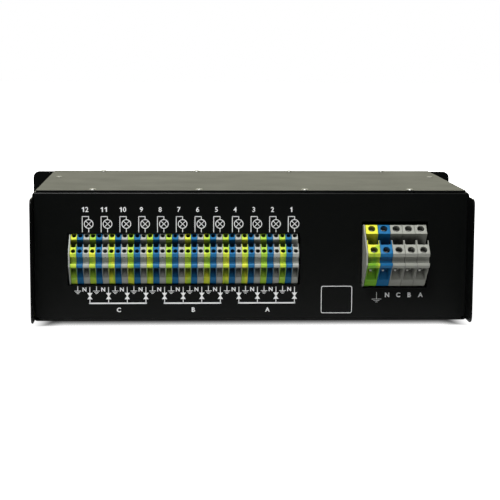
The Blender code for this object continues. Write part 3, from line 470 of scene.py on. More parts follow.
powder_coat = surface("powder_coat", (0.0022, 0.0027, 0.0024), 0.38, 0.6, 0.02, specular=0.16)
grey_plastic = surface("grey_terminal_plastic", (0.445, 0.468, 0.43), 0.42, specular=0.3, shade=HOLLOW)
mains_grey_plastic = surface("mains_grey_plastic", (0.368, 0.376, 0.333), 0.42, specular=0.3,
                             shade=MAINS_HOLLOW)
blue_plastic = surface("blue_terminal_plastic", (0.012, 0.160, 0.375), 0.42, specular=0.25, shade=HOLLOW)
dark_steel = surface("dark_steel", (0.16, 0.16, 0.15), 0.38, 0.4, metallic=1.0)
dull_zinc = surface("dull_zinc", (0.50, 0.50, 0.47), 0.5, 0.4, metallic=1.0)
worn_zinc = surface("worn_zinc", (0.62, 0.62, 0.58), 0.5, 0.4, metallic=1.0)
# Near-white non-metal for the clamp lips: a painted glint in place of the plated steel's reflection.
lip_glint_white = surface("tin_plate", (0.90, 0.90, 0.86), 0.3, 0.4)
white_ink = surface("white_ink", (0.84, 0.85, 0.85), 0.6, 0.2, 0.004, specular=0.2)
print("nine finishes")

# %% [markdown]
# Protective earth terminals are moulded from green and yellow plastic that is only half mixed, so
# each one comes out streaked in its own way. A picture could paint that, but a stretched noise on
# object coordinates gives every terminal in the row a different streak without one. The mains one
# is greener towards its foot, so its noise is shifted with the height.

# %% Green and yellow plastic
MIXED = (0.6, 0.7, 0.05)
YELLOW = (0.86, 0.87, 0.055, 1)
STREAKS = (52, 20, 14)
STREAK_EDGE = 0.13
FALL_FROM = 0.066


def streaked_plastic(name, turn, bias, green, fall):
    """Yellow plastic with green streaks, and more green lower down where fall is above nought."""
    made = surface(name, MIXED, 0.42, specular=0.35)
    tree = made.node_tree
    shader = next(item for item in tree.nodes if item.type == "BSDF_PRINCIPLED")
    place = next(item for item in tree.nodes if item.type == "TEX_COORD").outputs["Object"]
    mapping = node(tree, "ShaderNodeMapping", {"Vector": place, "Location": (turn, 0, 0), "Scale": STREAKS})
    noise = node(tree, "ShaderNodeTexNoise", {
        "Vector": mapping.outputs[0], "Scale": 1, "Detail": 3, "Distortion": 1.2})
    height = node(tree, "ShaderNodeSeparateXYZ", {0: place}).outputs["Z"]
    lower = maths(tree, "MULTIPLY_ADD", height, -fall, fall * FALL_FROM)
    edge = ramp(tree, maths(tree, "ADD", noise.outputs[0], lower), bias - STREAK_EDGE, bias + STREAK_EDGE)
    tree.links.new(blend(tree, "RGBA", edge, YELLOW, green), shader.inputs["Base Color"])
    # Painted shade in the slots, wells and funnels of the earth terminals too.
    darker_inside(tree, shader, HOLLOW)
    return made


earth_plastic = streaked_plastic("earth_terminal_plastic", 0.0, 0.44, (0.42, 0.69, 0.055, 1), 0.0)
mains_earth_plastic = streaked_plastic("mains_earth_plastic", 3.0, 0.50, (0.20, 0.50, 0.03, 1), 7.0)
print("streaks about", round(1000 / STREAKS[0]), "mm apart along the row")

# %% [markdown]
# The case is folded from one and a half millimetre sheet and powder-coated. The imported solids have
# the right folds and cutouts, but knife-sharp edges, and real coated edges are round and catch a
# thin line of light. A welded copy of each solid with a fine bevel brings that line. The floor also
# gets shallow bores for its screws, so that no head stands below the case.

# %% Case with softened edges
SHEET_EDGE = 0.35 * MM
FLOOR_BORE = 3.5 * MM
FLOOR_SCREWS = [(x * MM, panel_y + y * MM, 0.9 * MM) for x in (-180, -60, 60, 180) for y in (24, 204)]

for name in ("chassis_tray", "top_cover", "terminal_panel", "front_panel"):
    mesh = softened(of_node(name), SHEET_EDGE)
    if name == "chassis_tray":
        bores = prisms([(circle(x, y, FLOOR_BORE), -MM, z, along_z) for x, y, z in FLOOR_SCREWS])
        mesh = cut(mesh, bores)
    piece(name + "_coated", mesh, powder_coat, [name])

# %% [markdown]
# The terminals are the piece to look at. Each is a moulded body clipped on a rail that is tilted 41
# degrees: two screw faces, a jumper slot between them, a marker groove, a rib, and a funnel for the
# wire below. A terminal is drawn once as a side profile, in the rail's own tilted axes, where a
# points across the rail and b away from it. Half a profile is enough, and the other half mirrors it.

# %% Side profiles
TILT = math.radians(41)
CHANNEL_PITCH = 6.34 * MM
CHANNEL_START = -181.8 * MM
CHANNEL_RAIL = (23.2 * MM, 44.95 * MM)
MAINS_PITCH = 12.4 * MM
MAINS_START = 114.1 * MM
MAINS_RAIL = (17.45 * MM, 44.74 * MM)


def rail_place(rail):
    """From the rail's own axes to the world's."""
    return Matrix.Translation((0, panel_y + rail[0], rail[1])) @ Matrix.Rotation(TILT, 4, "X")


def both_halves(half, shorter=0.0):
    """Whole outline; the upper half, on the +a side, ends that much sooner at the top."""
    points = millimetres(half)
    upper = [(points[0][0] - shorter * MM, points[0][1]), *points[1:]]
    return upper + [(-a, b) for a, b in reversed(points)]


def foot(half_length):
    """The last points of a half: the foot and its hook under the rail."""
    return [(half_length, 3.6), (16.9, 4.4), (16.6, 6.2), (17.8, 6.2), (17.8, 7.8)]


CHANNEL_HALF = [(14.2, 47.0), (15.8, 43.6), (12.0, 41.2), (16.3, 35.5), (19.9, 37.7), (20.9, 37.4),
                (22.1, 35.4), (21.0, 34.4), (21.5, 10.6), (20.2, 8.0), *foot(20.2)]
MAINS_HALF = [(19.1, 54.0), (20.2, 49.9), (18.0, 46.6), (21.4, 42.2), (25.2, 46.3), (26.8, 44.5),
              (26.6, 41.2), (24.6, 38.4), (20.6, 7.0), *foot(19.0)]
print("half profiles of", len(CHANNEL_HALF), "and", len(MAINS_HALF), "points")

# %% [markdown]
# The profile is pushed out to the terminal's width with rounded edges, then cut: the jumper slot and
# the valley over it, a well over each clamp screw, and on each side a funnel that narrows to the
# wire's bore. A funnel could be lofted, but the convex hull of its eight corners is the same shape.

# %% Cuts into a terminal
TERMINAL_EDGE = 0.28 * MM
SLOT_CORNER = 1.3
WELL_STRETCH = 1.08
BORE_DEPTH = 6


def funnel(middle, side, mouth):
    """Wire entry that narrows inward: wide and high in the face, small at its inner end."""
    reach = 3
    wider = mouth["width"] + reach * (mouth["width"] - mouth["inner_width"]) / mouth["depth"]
    lower = mouth["low"] - reach * (mouth["inner_low"] - mouth["low"]) / mouth["depth"]
    outer_end = mouth["face"] + reach
    inner_end = mouth["face"] - mouth["depth"]
    build = bmesh.new()
    for a, b, across in ((outer_end, mouth["high"], wider), (outer_end, lower, wider),
                         (inner_end, mouth["high"] - 0.6, mouth["inner_width"]),
                         (inner_end, mouth["inner_low"], mouth["inner_width"])):
        for hand in (-0.5, 0.5):
            build.verts.new((middle + hand * across * MM, side * a * MM, b * MM))
    bmesh.ops.convex_hull(build, input=build.verts)
    return as_mesh(build)


def slot_outline(middle, width, far, near, corner):
    """Jumper slot seen from above: square at its far end, round at the near one, in millimetres."""
    left = middle - width * MM / 2
    right = middle + width * MM / 2
    turn = arc(left + corner * MM, (near + corner) * MM, corner * MM, 180, 270, 5)
    turn += arc(right - corner * MM, (near + corner) * MM, corner * MM, 270, 360, 5)
    return turn + [(right, far * MM), (left, far * MM)]


def terminal(half, width, slot, holes, mouth, bore, shorter=0.0):
    """One terminal at the row's start, in the rail's axes; sizes in millimetres."""
    top = half[0][1]
    above = top + 6
    middle = width * MM / 2
    mesh = softened(prism(both_halves(half, shorter), 0, width * MM, along_x), TERMINAL_EDGE)
    plan = slot_outline(middle, slot["width"], slot["far"], -slot["near"], SLOT_CORNER)
    mesh = cut(mesh, prism(plan, slot["floor"] * MM, above * MM, along_z))
    valley = rectangle(-slot["open_to"] * MM, slot["far"] * MM, slot["valley_floor"] * MM, above * MM)
    mesh = cut(mesh, prism(valley, -MM, (width + 1) * MM, along_x))
    wells = []
    for reach in holes["reaches"]:
        well = circle(0, 0, holes["radius"] * MM, 28)
        outline = [(middle + a, reach * MM + WELL_STRETCH * b) for a, b in well]
        wells.append((outline, (top - holes["depth"]) * MM, above * MM, along_z))
    mesh = cut(mesh, prisms(wells), *[funnel(middle, side, mouth) for side in (-1, 1)])
    inner_end = mouth["face"] - mouth["depth"]
    bores = []
    for side in (-1, 1):
        outline = circle(middle, bore["height"] * MM, bore["radius"] * MM, 20)
        ends = sorted((side * (inner_end + 1) * MM, side * (inner_end - BORE_DEPTH) * MM))
        bores.append((outline, *ends, along_y))
    return cut(mesh, prisms(bores))


def placed(mesh, matrix):
    """A copy of a mesh, moved by a matrix."""
    mesh = mesh.copy()
    mesh.transform(matrix)
    return mesh


CHANNEL_WELLS = (-10.6, 9.9)
MAINS_WELLS = (-14.1, 14.1)

channel_body = terminal(
    CHANNEL_HALF, 6.2, shorter=1.6,
    slot={"width": 5.0, "far": 4.7, "near": 5.5, "floor": 31, "open_to": 1.4, "valley_floor": 34},
    holes={"reaches": CHANNEL_WELLS, "radius": 2.3, "depth": 12},
    mouth={"width": 5.3, "inner_width": 4.6, "face": 21.3, "depth": 7, "low": 18.9, "high": 33.5,
           "inner_low": 24},
    bore={"radius": 1.4, "height": 28.5})
mains_body = terminal(
    MAINS_HALF, 12.15,
    slot={"width": 10.9, "far": 7.3, "near": 7.3, "floor": 33, "open_to": 1.4, "valley_floor": 38},
    holes={"reaches": MAINS_WELLS, "radius": 3.65, "depth": 12},
    mouth={"width": 10.9, "inner_width": 6.4, "face": 23.6, "depth": 9.5, "low": 15.6, "high": 38.0,
           "inner_low": 23.0},
    bore={"radius": 2.6, "height": 27.2})
print("channel terminal", len(channel_body.polygons), "faces, mains terminal", len(mains_body.polygons))

# %% [markdown]
# Thirty-six channel terminals stand in threes: earth, neutral, phase, twelve times. They could be
# copied by hand or by an array. A Geometry Nodes row makes one colour's twelve in one step, from a
# count and a step length, and stays easy to change. Each group ends by making its copies real,
# because an exported piece can't hold instances.

# %% A row of copies
def new_group(name, inputs):
    """Geometry node group with named inputs and a finish; returns the tree and its two ends."""
    tree = bpy.data.node_groups.new(name, "GeometryNodeTree")
    for title, kind, value in [("Geometry", "NodeSocketGeometry", None), *inputs,
                               ("Finish", "NodeSocketMaterial", None)]:
        socket = tree.interface.new_socket(title, in_out="INPUT", socket_type=kind)
        if value is not None:
            socket.default_value = value
    tree.interface.new_socket("Geometry", in_out="OUTPUT", socket_type="NodeSocketGeometry")
    return tree, node(tree, "NodeGroupInput"), node(tree, "NodeGroupOutput")


def end_group(tree, start, end, copies):
    """Make the copies real, give them the finish and hand them on."""
    real = node(tree, "GeometryNodeRealizeInstances", {0: copies})
    finish = node(tree, "GeometryNodeSetMaterial", {
        "Geometry": real.outputs[0], "Material": start.outputs["Finish"]})
    tree.links.new(finish.outputs[0], end.inputs[0])


def grown(mesh, tree, **values):
    """The mesh after a geometry node group, with the group's inputs set by name."""
    def prepare(item):
        step = item.modifiers.new("grow", "NODES")
        step.node_group = tree
        for socket in tree.interface.items_tree:
            key = socket.name.replace(" ", "_").lower()
            if socket.in_out == "INPUT" and key in values:
                step[socket.identifier] = values[key]
    return evaluated(mesh, prepare)


row_tree, start, end = new_group("row_of_copies", [
    ("Count", "NodeSocketInt", 2), ("Step", "NodeSocketFloat", 0.01)])
offset = node(row_tree, "ShaderNodeCombineXYZ", {"X": start.outputs["Step"]})
line = node(row_tree, "GeometryNodeMeshLine", {"Count": start.outputs["Count"], "Offset": offset.outputs[0]})
copies = node(row_tree, "GeometryNodeInstanceOnPoints", {
    "Points": line.outputs[0], "Instance": start.outputs["Geometry"]})
end_group(row_tree, start, end, copies.outputs[0])

CHANNELS = 12
channel_nodes = [f"channel_terminals_{channel}" for channel in range(1, CHANNELS + 1)]
channel_place = rail_place(CHANNEL_RAIL)
rows = (("earth", earth_plastic, "terminal_earth"), ("neutral", blue_plastic, "terminal_blue"),
        ("phase", grey_plastic, "terminal_grey"))
for index, (name, plastic, slot) in enumerate(rows):
    first = Matrix.Translation((CHANNEL_START + index * CHANNEL_PITCH, 0, 0))
    row = grown(placed(channel_body, channel_place @ first), row_tree, count=CHANNELS,
                step=3 * CHANNEL_PITCH, finish=plastic)
    piece(f"channel_{name}_terminals", row, plastic, channel_nodes)

# %% [markdown]
# The mains terminals are the same idea at twice the size, five of them, each its own piece. The
# light grey end plates close both rows at the left, where the camera sees their flanks.

# %% Mains terminals and end plates
mains_place = rail_place(MAINS_RAIL)
mains = (("earth", mains_earth_plastic, "terminal_earth"), ("neutral", blue_plastic, "terminal_blue"),
         ("phase_c", mains_grey_plastic, "terminal_grey"), ("phase_b", mains_grey_plastic, "terminal_grey"),
         ("phase_a", mains_grey_plastic, "terminal_grey"))
for index, (name, plastic, slot) in enumerate(mains):
    first = Matrix.Translation((MAINS_START + index * MAINS_PITCH, 0, 0))
    piece(f"mains_{name}", placed(mains_body, mains_place @ first), plastic, ["mains_terminal_" + name])
for name, plastic in (("channel_end_plate", grey_plastic), ("mains_end_plate", mains_grey_plastic)):
    piece(name + "_moulded", softened(of_node(name), 0.3 * MM), plastic, [name])

# %% [markdown]
# Screws hold the cover, the sockets and every clamp. A pan head is nearly a flattened ball whose
# lower half is pressed flat, and its flank is steeper than a ball's. A power of the height below
# one gives that shape. The head is built as nodes, so one group can serve every size of screw.

# %% Pan head
FLANK_POWER = 0.55

screw_tree, start, end = new_group("screws_on_points", [
    ("Radius", "NodeSocketFloat", 3.5 * MM), ("Height", "NodeSocketFloat", 2 * MM),
    ("Slot Width", "NodeSocketFloat", 0.9 * MM), ("Slot Length", "NodeSocketFloat", 4 * MM),
    ("Cross", "NodeSocketFloat", 1.0), ("Facing", "NodeSocketVector", (0, 0, 0)),
    ("Seed", "NodeSocketInt", 1)])
ball = node(screw_tree, "GeometryNodeMeshUVSphere", {"Segments": 28, "Rings": 14, "Radius": 1.0})
where = node(screw_tree, "GeometryNodeInputPosition")
apart = node(screw_tree, "ShaderNodeSeparateXYZ", {0: where.outputs[0]})
steep = maths(screw_tree, "POWER", maths(screw_tree, "MAXIMUM", apart.outputs["Z"], 0.0), FLANK_POWER)
shape = node(screw_tree, "ShaderNodeCombineXYZ", {
    "X": maths(screw_tree, "MULTIPLY", apart.outputs["X"], start.outputs["Radius"]),
    "Y": maths(screw_tree, "MULTIPLY", apart.outputs["Y"], start.outputs["Radius"]),
    "Z": maths(screw_tree, "MULTIPLY", steep, start.outputs["Height"])})
head = node(screw_tree, "GeometryNodeSetPosition", {
    "Geometry": ball.outputs["Mesh"], "Position": shape.outputs[0]})
print("head of", len(screw_tree.nodes), "nodes")

# %% [markdown]
# Two bars cut the cross into the head, and a Cross of nought leaves a single slot, as clamp screws
# have. The head is then set on every point of a list, and turned by a seeded random angle, as real
# screws end up. Setting the angles by hand would look as good, but has to be done for each screw.

# %% Slots, and heads on points
raised = node(screw_tree, "ShaderNodeCombineXYZ", {"Z": start.outputs["Height"]})
recess = node(screw_tree, "GeometryNodeMeshBoolean", {0: head.outputs[0]}, operation="DIFFERENCE")
crossing = maths(screw_tree, "MULTIPLY", start.outputs["Slot Width"], start.outputs["Cross"])
for length_axis, width_axis, width in (("X", "Y", start.outputs["Slot Width"]), ("Y", "X", crossing)):
    size = node(screw_tree, "ShaderNodeCombineXYZ", {
        length_axis: start.outputs["Slot Length"], width_axis: width, "Z": start.outputs["Height"]})
    slot_bar = node(screw_tree, "GeometryNodeMeshCube", {"Size": size.outputs[0]})
    moved = node(screw_tree, "GeometryNodeTransform", {
        "Geometry": slot_bar.outputs["Mesh"], "Translation": raised.outputs[0]})
    screw_tree.links.new(moved.outputs[0], recess.inputs["Mesh 2"])
spin = node(screw_tree, "FunctionNodeRandomValue", {"Max": math.tau, "Seed": start.outputs["Seed"]},
            data_type="FLOAT")
about = node(screw_tree, "ShaderNodeCombineXYZ", {"Z": spin.outputs["Value"]})
set_on = node(screw_tree, "GeometryNodeInstanceOnPoints", {
    "Points": start.outputs["Geometry"], "Instance": recess.outputs[0], "Rotation": start.outputs["Facing"]})
twist = node(screw_tree, "GeometryNodeRotateInstances", {
    "Instances": set_on.outputs[0], "Rotation": about.outputs[0]})
end_group(screw_tree, start, end, twist.outputs[0])
print("screws of", len(screw_tree.nodes), "nodes")

# %% [markdown]
# The cover is held by a row of small zinc-plated screws along its near edge and one along its far
# edge, and by one flat screw at each side. In the picture they are only a few light points, but
# without them the cover would look like one block with the case.

# %% Screws of the cover
FACE_UP = (0, 0, 0)
FACE_DOWN = (math.pi, 0, 0)
FACE_FRONT = (-math.pi / 2, 0, 0)
FACE_RAIL = (TILT, 0, 0)
COVER_SCREWS_X = (-160, -53.3, 53.3, 160)
COVER_SCREWS_Y = (6, 221)
SIDE_SCREWS = ((-205, 150), (205, 150))


def screws(name, places, facing, radius, height, slot, seed, finish, cross=1.0):
    """Screw heads on a list of places; sizes in millimetres, the slot as (width, length)."""
    points = bpy.data.meshes.new(name)
    points.from_pydata([tuple(place) for place in places], [], [])
    mesh = grown(points, screw_tree, radius=radius * MM, height=height * MM, slot_width=slot[0] * MM,
                 slot_length=slot[1] * MM, cross=cross, facing=facing, seed=seed, finish=finish)
    mesh.shade_smooth()
    mesh.set_sharp_from_angle(angle=math.radians(40))
    piece(name, mesh, finish)


places = [(x * MM, panel_y + y * MM, cover_z) for y in COVER_SCREWS_Y for x in COVER_SCREWS_X]
screws("cover_screws", places, FACE_UP, 3.5, 1.4, (0.8, 3.6), 3, dull_zinc)
places = [(x * MM, panel_y + y * MM, cover_z) for x, y in SIDE_SCREWS]
screws("cover_side_screws", places, FACE_UP, 3.2, 0.8, (0.8, 3.4), 4, dull_zinc)

# %% [markdown]
# Every terminal has two clamp screws, one in each well. Their places are worked out in the rail's
# own axes, from the pitch of the row and the reach of the wells, and then turned to the world's.
# The screws are plain slotted ones, dark in the small terminals, where their dark steel is partly painted
# shade of the deep wells, and worn in the large.

# %% Clamp screws
def clamp_places(place, first, pitch, count, reaches, height):
    """Middle of every clamp screw of a row, from the rail's own axes to the world's."""
    middles = [first + pitch * (index + 0.5) for index in range(count)]
    return [place @ Vector((x, reach * MM, height)) for x in middles for reach in reaches]


CHANNEL_GAP = 0.07 * MM
MAINS_GAP = 0.12 * MM
CHANNEL_HEAD = 40.8 * MM
MAINS_HEAD = 46.8 * MM

places = clamp_places(channel_place, CHANNEL_START - CHANNEL_GAP, CHANNEL_PITCH, 3 * CHANNELS, CHANNEL_WELLS,
                      CHANNEL_HEAD)
# Dark steel here partly paints the shade of the deep wells over the channel screws.
screws("channel_clamp_screws", places, FACE_RAIL, 1.95, 1.2, (0.6, 3.6), 5, dark_steel, cross=0.0)
places = clamp_places(mains_place, MAINS_START - MAINS_GAP, MAINS_PITCH, len(mains), MAINS_WELLS, MAINS_HEAD)
screws("mains_clamp_screws", places, FACE_RAIL, 3.5, 2.2, (1.0, 6.4), 7, worn_zinc, cross=0.0)

# %% [markdown]
# Behind each large funnel sits the clamp's cage, a folded strip of plated steel. Only its lip shows
# through the bore, as a small bright spot. That spot is a painted glint: the lip is near-white
# non-metal, standing in for the plated steel's reflection. Five lips in a row need just one drawn shape.

# %% Clamp lips
LIP_ASIDE = 1.6 * MM
LIP_REACH = 18.2 * MM
LIP_HEIGHT = 27.4 * MM

outline = rounded(-1.1 * MM, 1.1 * MM, -0.9 * MM, 0.9 * MM, 0.5 * MM, 3)
lip = softened(prism(outline, -0.5 * MM, 0.5 * MM, along_y), 0.2 * MM)
first = Matrix.Translation((MAINS_START + MAINS_PITCH / 2 - LIP_ASIDE, -LIP_REACH, LIP_HEIGHT))
lips = grown(placed(lip, mains_place @ first), row_tree, count=len(mains), step=MAINS_PITCH, finish=lip_glint_white)
piece("mains_clamp_lips", lips, lip_glint_white)

# %% [markdown]
# White marks are printed above and below the terminals. They are real, thin layers of ink that
# stand on the panel by a twentieth of a millimetre, so no picture is needed and they stay sharp
# from near. Lines, filled outlines and frames are enough for all of them.

# %% Ink
INK = 0.05 * MM
INK_ROOT = 0.02 * MM
PANEL_INK = (panel_y - INK, panel_y + INK_ROOT, along_y)


def stroke(x0, z0, x1, z1, width):
    """Outline of a straight line with square ends."""
    way = Vector((x1 - x0, z1 - z0)).normalized()
    side = Vector((-way.y, way.x)) * width / 2
    return [(x0 - side.x, z0 - side.y), (x1 - side.x, z1 - side.y), (x1 + side.x, z1 + side.y),
            (x0 + side.x, z0 + side.y)]


def ink_shape(points):
    """Ink on the terminal panel, from an outline in millimetres."""
    return (millimetres(points), *PANEL_INK)


def ink_line(x0, z0, x1, z1, width):
    return ink_shape(stroke(x0, z0, x1, z1, width))


def ink_frame(outer, inner, face, layer):
    """Ink between two outlines in millimetres, on a face at that Y."""
    return cut(prism(millimetres(outer), *layer), prism(millimetres(inner), face - MM, face + MM, along_y))


def earth_sign(x, top, low, width, bars, bar_width):
    """A stem over bars that grow shorter, each given as (half its length, height)."""
    stem = ink_line(x, top, x, low, width)
    return [stem] + [ink_line(x - half, z, x + half, z, bar_width) for half, z in bars]


print("ink", round(INK / MM, 2), "mm thick")

# %% [markdown]
# The letters are the built-in ones, turned into thin solids and scaled so that their capitals have
# the height they should. The built-in figure one has no flag and the printed one has, so that
# figure is drawn. Figures stand side by side at one step, as printed ones do.

# %% Letters and digits
ONE = [(0.03, 0), (0.25, 0), (0.25, 1), (0.09, 1), (-0.02, 0.88), (-0.2, 0.78), (-0.2, 0.6), (0.03, 0.71)]
DIGIT_STEP = 0.80
LETTER_SIZE = 10 * MM


def lettering(text, x, z, height, facing=-1, y=None, bold=0.03):
    """Text as a thin solid whose capitals have that height, facing -Y or +Y, in millimetres but for y."""
    curve = bpy.data.curves.new("text", "FONT")
    curve.body = text
    curve.size = LETTER_SIZE
    curve.align_x = "CENTER"
    curve.offset = bold * LETTER_SIZE
    curve.extrude = INK
    curve.resolution_u = 3
    item = in_scene("text", curve)
    graph = bpy.context.evaluated_depsgraph_get()
    mesh = bpy.data.meshes.new_from_object(item.evaluated_get(graph), depsgraph=graph)
    bpy.data.objects.remove(item, do_unlink=True)
    low = min(v.co.y for v in mesh.vertices)
    tall = max(v.co.y for v in mesh.vertices) - low
    left = min(v.co.x for v in mesh.vertices)
    right = max(v.co.x for v in mesh.vertices)
    size = height * MM / tall
    mesh.transform(Matrix.Translation((-(left + right) / 2, -low - tall / 2, 0)))
    mesh.transform(Matrix.Diagonal((size, size, 0.5, 1)))
    mesh.transform(Matrix.Rotation(math.pi / 2, 4, "X"))
    if facing > 0:
        mesh.transform(Matrix.Rotation(math.pi, 4, "Z"))
    mesh.transform(Matrix.Translation((x * MM, panel_y - INK / 2 if y is None else y, z * MM)))
    build = bmesh.new()
    build.from_mesh(mesh)
    bmesh.ops.remove_doubles(build, verts=build.verts, dist=1e-7)
    return as_mesh(build)


def number(text, x, z, height, **where):
    """Digits side by side."""
    facing = where.get("facing", -1)
    face = where.get("y", panel_y - INK / 2)
    meshes = []
    for index, digit in enumerate(text):
        across = -facing * (index - (len(text) - 1) / 2) * DIGIT_STEP * height
        if digit == "1":
            outline = [(x + across - facing * a * height, z + (b - 0.5) * height) for a, b in ONE]
            meshes.append(prism(millimetres(outline), face - INK / 2, face + INK / 2, along_y))
        else:
            meshes.append(lettering(digit, x + across, z, height, **where))
    return joined(meshes)


print("a ten has", len(number("10", 0, 0, 5).polygons), "faces")

# %% [markdown]
# Each channel has a lamp with its wires above the terminals, and below them an earth sign, an N and
# a switching symbol. They are drawn once, for the first channel, and the row group that repeats the
# terminals repeats them too, at the printing's own pitch.

# %% One channel's marks, twelve times
PRINT_PITCH = 18.8
LINE = 0.75
LAMP_X = -163.9
LAMP_Z = 98.7
LAMP_RADIUS = 4.4
EARTH_BARS = ((3.3, 30.6), (2.2, 29.3), (1.1, 28.0))

wires = ((-170.3, 90.3, -170.3, 106.6), (-170.7, 106.2, LAMP_X + 0.4, 106.2), (LAMP_X, 106.6, LAMP_X, 103.2),
         (LAMP_X, 94.2, LAMP_X, 90.3))
marks = [ink_line(*ends, LINE) for ends in wires]
marks += earth_sign(-175.5, 35.6, 30.9, LINE, EARTH_BARS, 0.55)
marks += [ink_line(-163.4, 34.7, -163.4, 28.4, LINE), ink_line(-163.4, 22.4, -163.4, 17.6, LINE)]
for wide_z, narrow_z in ((28.7, 25.2), (22.1, 25.5)):
    marks.append(ink_shape([(-166.1, wide_z), (-163.8, narrow_z), (-163.0, narrow_z), (-160.7, wide_z)]))
diagonal = 4.3 * math.sqrt(0.5)
lamp_symbol = [ink_frame(circle(LAMP_X, LAMP_Z, LAMP_RADIUS + LINE / 2, 40),
                         circle(LAMP_X, LAMP_Z, LAMP_RADIUS - LINE / 2, 40), panel_y, PANEL_INK)]
for rise in (-diagonal, diagonal):
    cross = ink_line(LAMP_X - diagonal, LAMP_Z - rise, LAMP_X + diagonal, LAMP_Z + rise, 0.62)
    lamp_symbol.append(prisms([cross]))
one_channel = joined([prisms(marks), *lamp_symbol, lettering("N", -168.8, 32.2, 4.3, bold=0.035)])
repeated = grown(one_channel, row_tree, count=CHANNELS, step=PRINT_PITCH * MM, finish=white_ink)
piece("channel_symbols", repeated, white_ink)

# %% [markdown]
# What differs from channel to channel is drawn one by one: the numbers, which run from right to
# left, the line under each group of four with its phase's letter, the marks under the mains
# terminals, and an empty frame with round corners.

# %% Numbers, phases and frame
single = []
for index in range(CHANNELS):
    single.append(number(str(CHANNELS - index), -167.6 + PRINT_PITCH * index, 113.3, 5.0, bold=0.012))
for group, letter in enumerate("CBA"):
    left = -164.2 + PRINT_PITCH * 4 * group
    single.append(prisms([ink_line(left, 18.0, left + 58.1, 18.0, 1.45)]))
    single.append(lettering(letter, left + 29.9, 11.2, 4.7, bold=0.035))
for letter, x in zip("NCBA", (138.0, 149.4, 160.7, 172.2)):
    single.append(lettering(letter, x, 25.9, 4.9, bold=0.04))
single.append(prisms(earth_sign(127.25, 28.9, 21.8, 0.45, ((4.9, 21.6), (3.0, 20.1), (1.2, 18.6)), 0.4)))
single.append(ink_frame(rounded(70.5, 102.2, 7.2, 35.2, 2.0), rounded(71.1, 101.6, 7.8, 34.6, 1.5), panel_y,
                        PANEL_INK))
piece("panel_marks", joined(single), white_ink)

# %% [markdown]
# The other side carries the twelve breakers. Their plain light grey housings are ganged in fours, so
# a shallow groove marks where one ends and the next begins. The grooves could be a dark line in the
# finish, but cut ones catch the light as the real gaps do.

# %% Breaker housings
BREAKER_PITCH = 17.6 * MM
GROOVE_WIDTH = 0.5 * MM
GROOVE_DEPTH = 0.8 * MM
GROOVE_ASIDE = 0.15 * MM
breaker_plastic = surface("breaker_plastic", (0.60, 0.60, 0.57), 0.4, specular=0.35)
nose_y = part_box("breaker_bank_1")[1].y

for bank in (1, 2, 3):
    name = f"breaker_bank_{bank}"
    low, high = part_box(name)
    grooves = []
    for count in (1, 2, 3):
        middle = low.x + count * BREAKER_PITCH - GROOVE_ASIDE
        outline = rectangle(middle - GROOVE_WIDTH / 2, middle + GROOVE_WIDTH / 2, low.z, high.z)
        grooves.append((outline, nose_y - GROOVE_DEPTH, nose_y + MM, along_y))
    piece(name + "_moulded", cut(softened(of_node(name), 0.45 * MM, 3), prisms(grooves)), breaker_plastic,
          [name])

# %% [markdown]
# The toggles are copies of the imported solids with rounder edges, each on its own hinge. Every one
# has a stroke above it for on, a ring below it for off, and its channel's number printed on the
# front panel. The places come from the toggles' own boxes, so the marks can't drift from them.

# %% Toggles and numbers
toggle_plastic = surface("toggle_plastic", (0.012, 0.012, 0.013), 0.38, specular=0.4)
black_ink = surface("black_ink", (0.012, 0.012, 0.012), 0.6, 0.2, 0.004, specular=0.2)
OFF_Z = 49.2
ON_Z = (79.0, 82.8)
NUMBER_Z = 94.6


def front_layer(face):
    """Start and end of a layer of ink on a face that looks along +Y."""
    return (face - INK_ROOT, face + INK, along_y)


def on_front(outlines, face):
    """Ink on a face that looks along +Y, from outlines in millimetres."""
    return prisms([(millimetres(points), *front_layer(face)) for points in outlines])


on_off = []
channel_numbers = []
for channel in range(1, CHANNELS + 1):
    name = f"breaker_toggle_{channel}"
    low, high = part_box(name)
    x = (low.x + high.x) / 2 / MM
    piece(name + "_moulded", softened(of_node(name), 0.5 * MM, 3), toggle_plastic, [name],
          body=f"toggle_{channel}")
    ring = ink_frame(circle(x, OFF_Z, 1.9, 28), circle(x, OFF_Z, 1.4, 28), nose_y, front_layer(nose_y))
    on_off += [on_front([stroke(x, ON_Z[0], x, ON_Z[1], 0.6)], nose_y), ring]
    channel_numbers.append(number(str(channel), x, NUMBER_Z, 4.4, facing=1, y=front_y + INK / 2, bold=0.03))
piece("breaker_marks", joined(on_off), black_ink)
piece("channel_numbers", joined(channel_numbers), white_ink)

# %% [markdown]
# The control module is a grained black bezel round a dark window. Its display is off, so the four
# digits show only as faint grey segments under the glass. They could be left out, but a window
# without them looks like a blank plate. One digit is drawn, and the row group sets the rest.

# %% Control module and display
control_plastic = surface("control_plastic", (0.022, 0.022, 0.025), 0.5, 0.35, 0.03, specular=0.35)
dark_glass = surface("dark_glass", (0.006, 0.008, 0.008), 0.08, 2, 0.002, worn=0.02)
unlit = surface("unlit_segments", (0.075, 0.06, 0.055), 0.35, 0.3, 0.002)
module_low, module_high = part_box("control_module")
module_x = (module_low.x + module_high.x) / 2 / MM
bezel_y = module_high.y
glass_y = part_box("display_window")[1].y
DIGIT_PITCH = 13
DIGIT_Z = 103
DIGIT_HALF_WIDTH = 3.2
DIGIT_HALF_HEIGHT = 5.8
BAR = 0.7


def segment(x0, z0, x1, z1):
    """One bar of a digit, pointed at both ends."""
    way = Vector((x1 - x0, z1 - z0)).normalized()
    side = Vector((-way.y, way.x)) * BAR
    start = Vector((x0, z0)) + way * 0.2
    end = Vector((x1, z1)) - way * 0.2
    return [tuple(start), tuple(start + way * BAR + side), tuple(end - way * BAR + side), tuple(end),
            tuple(end - way * BAR - side), tuple(start + way * BAR - side)]


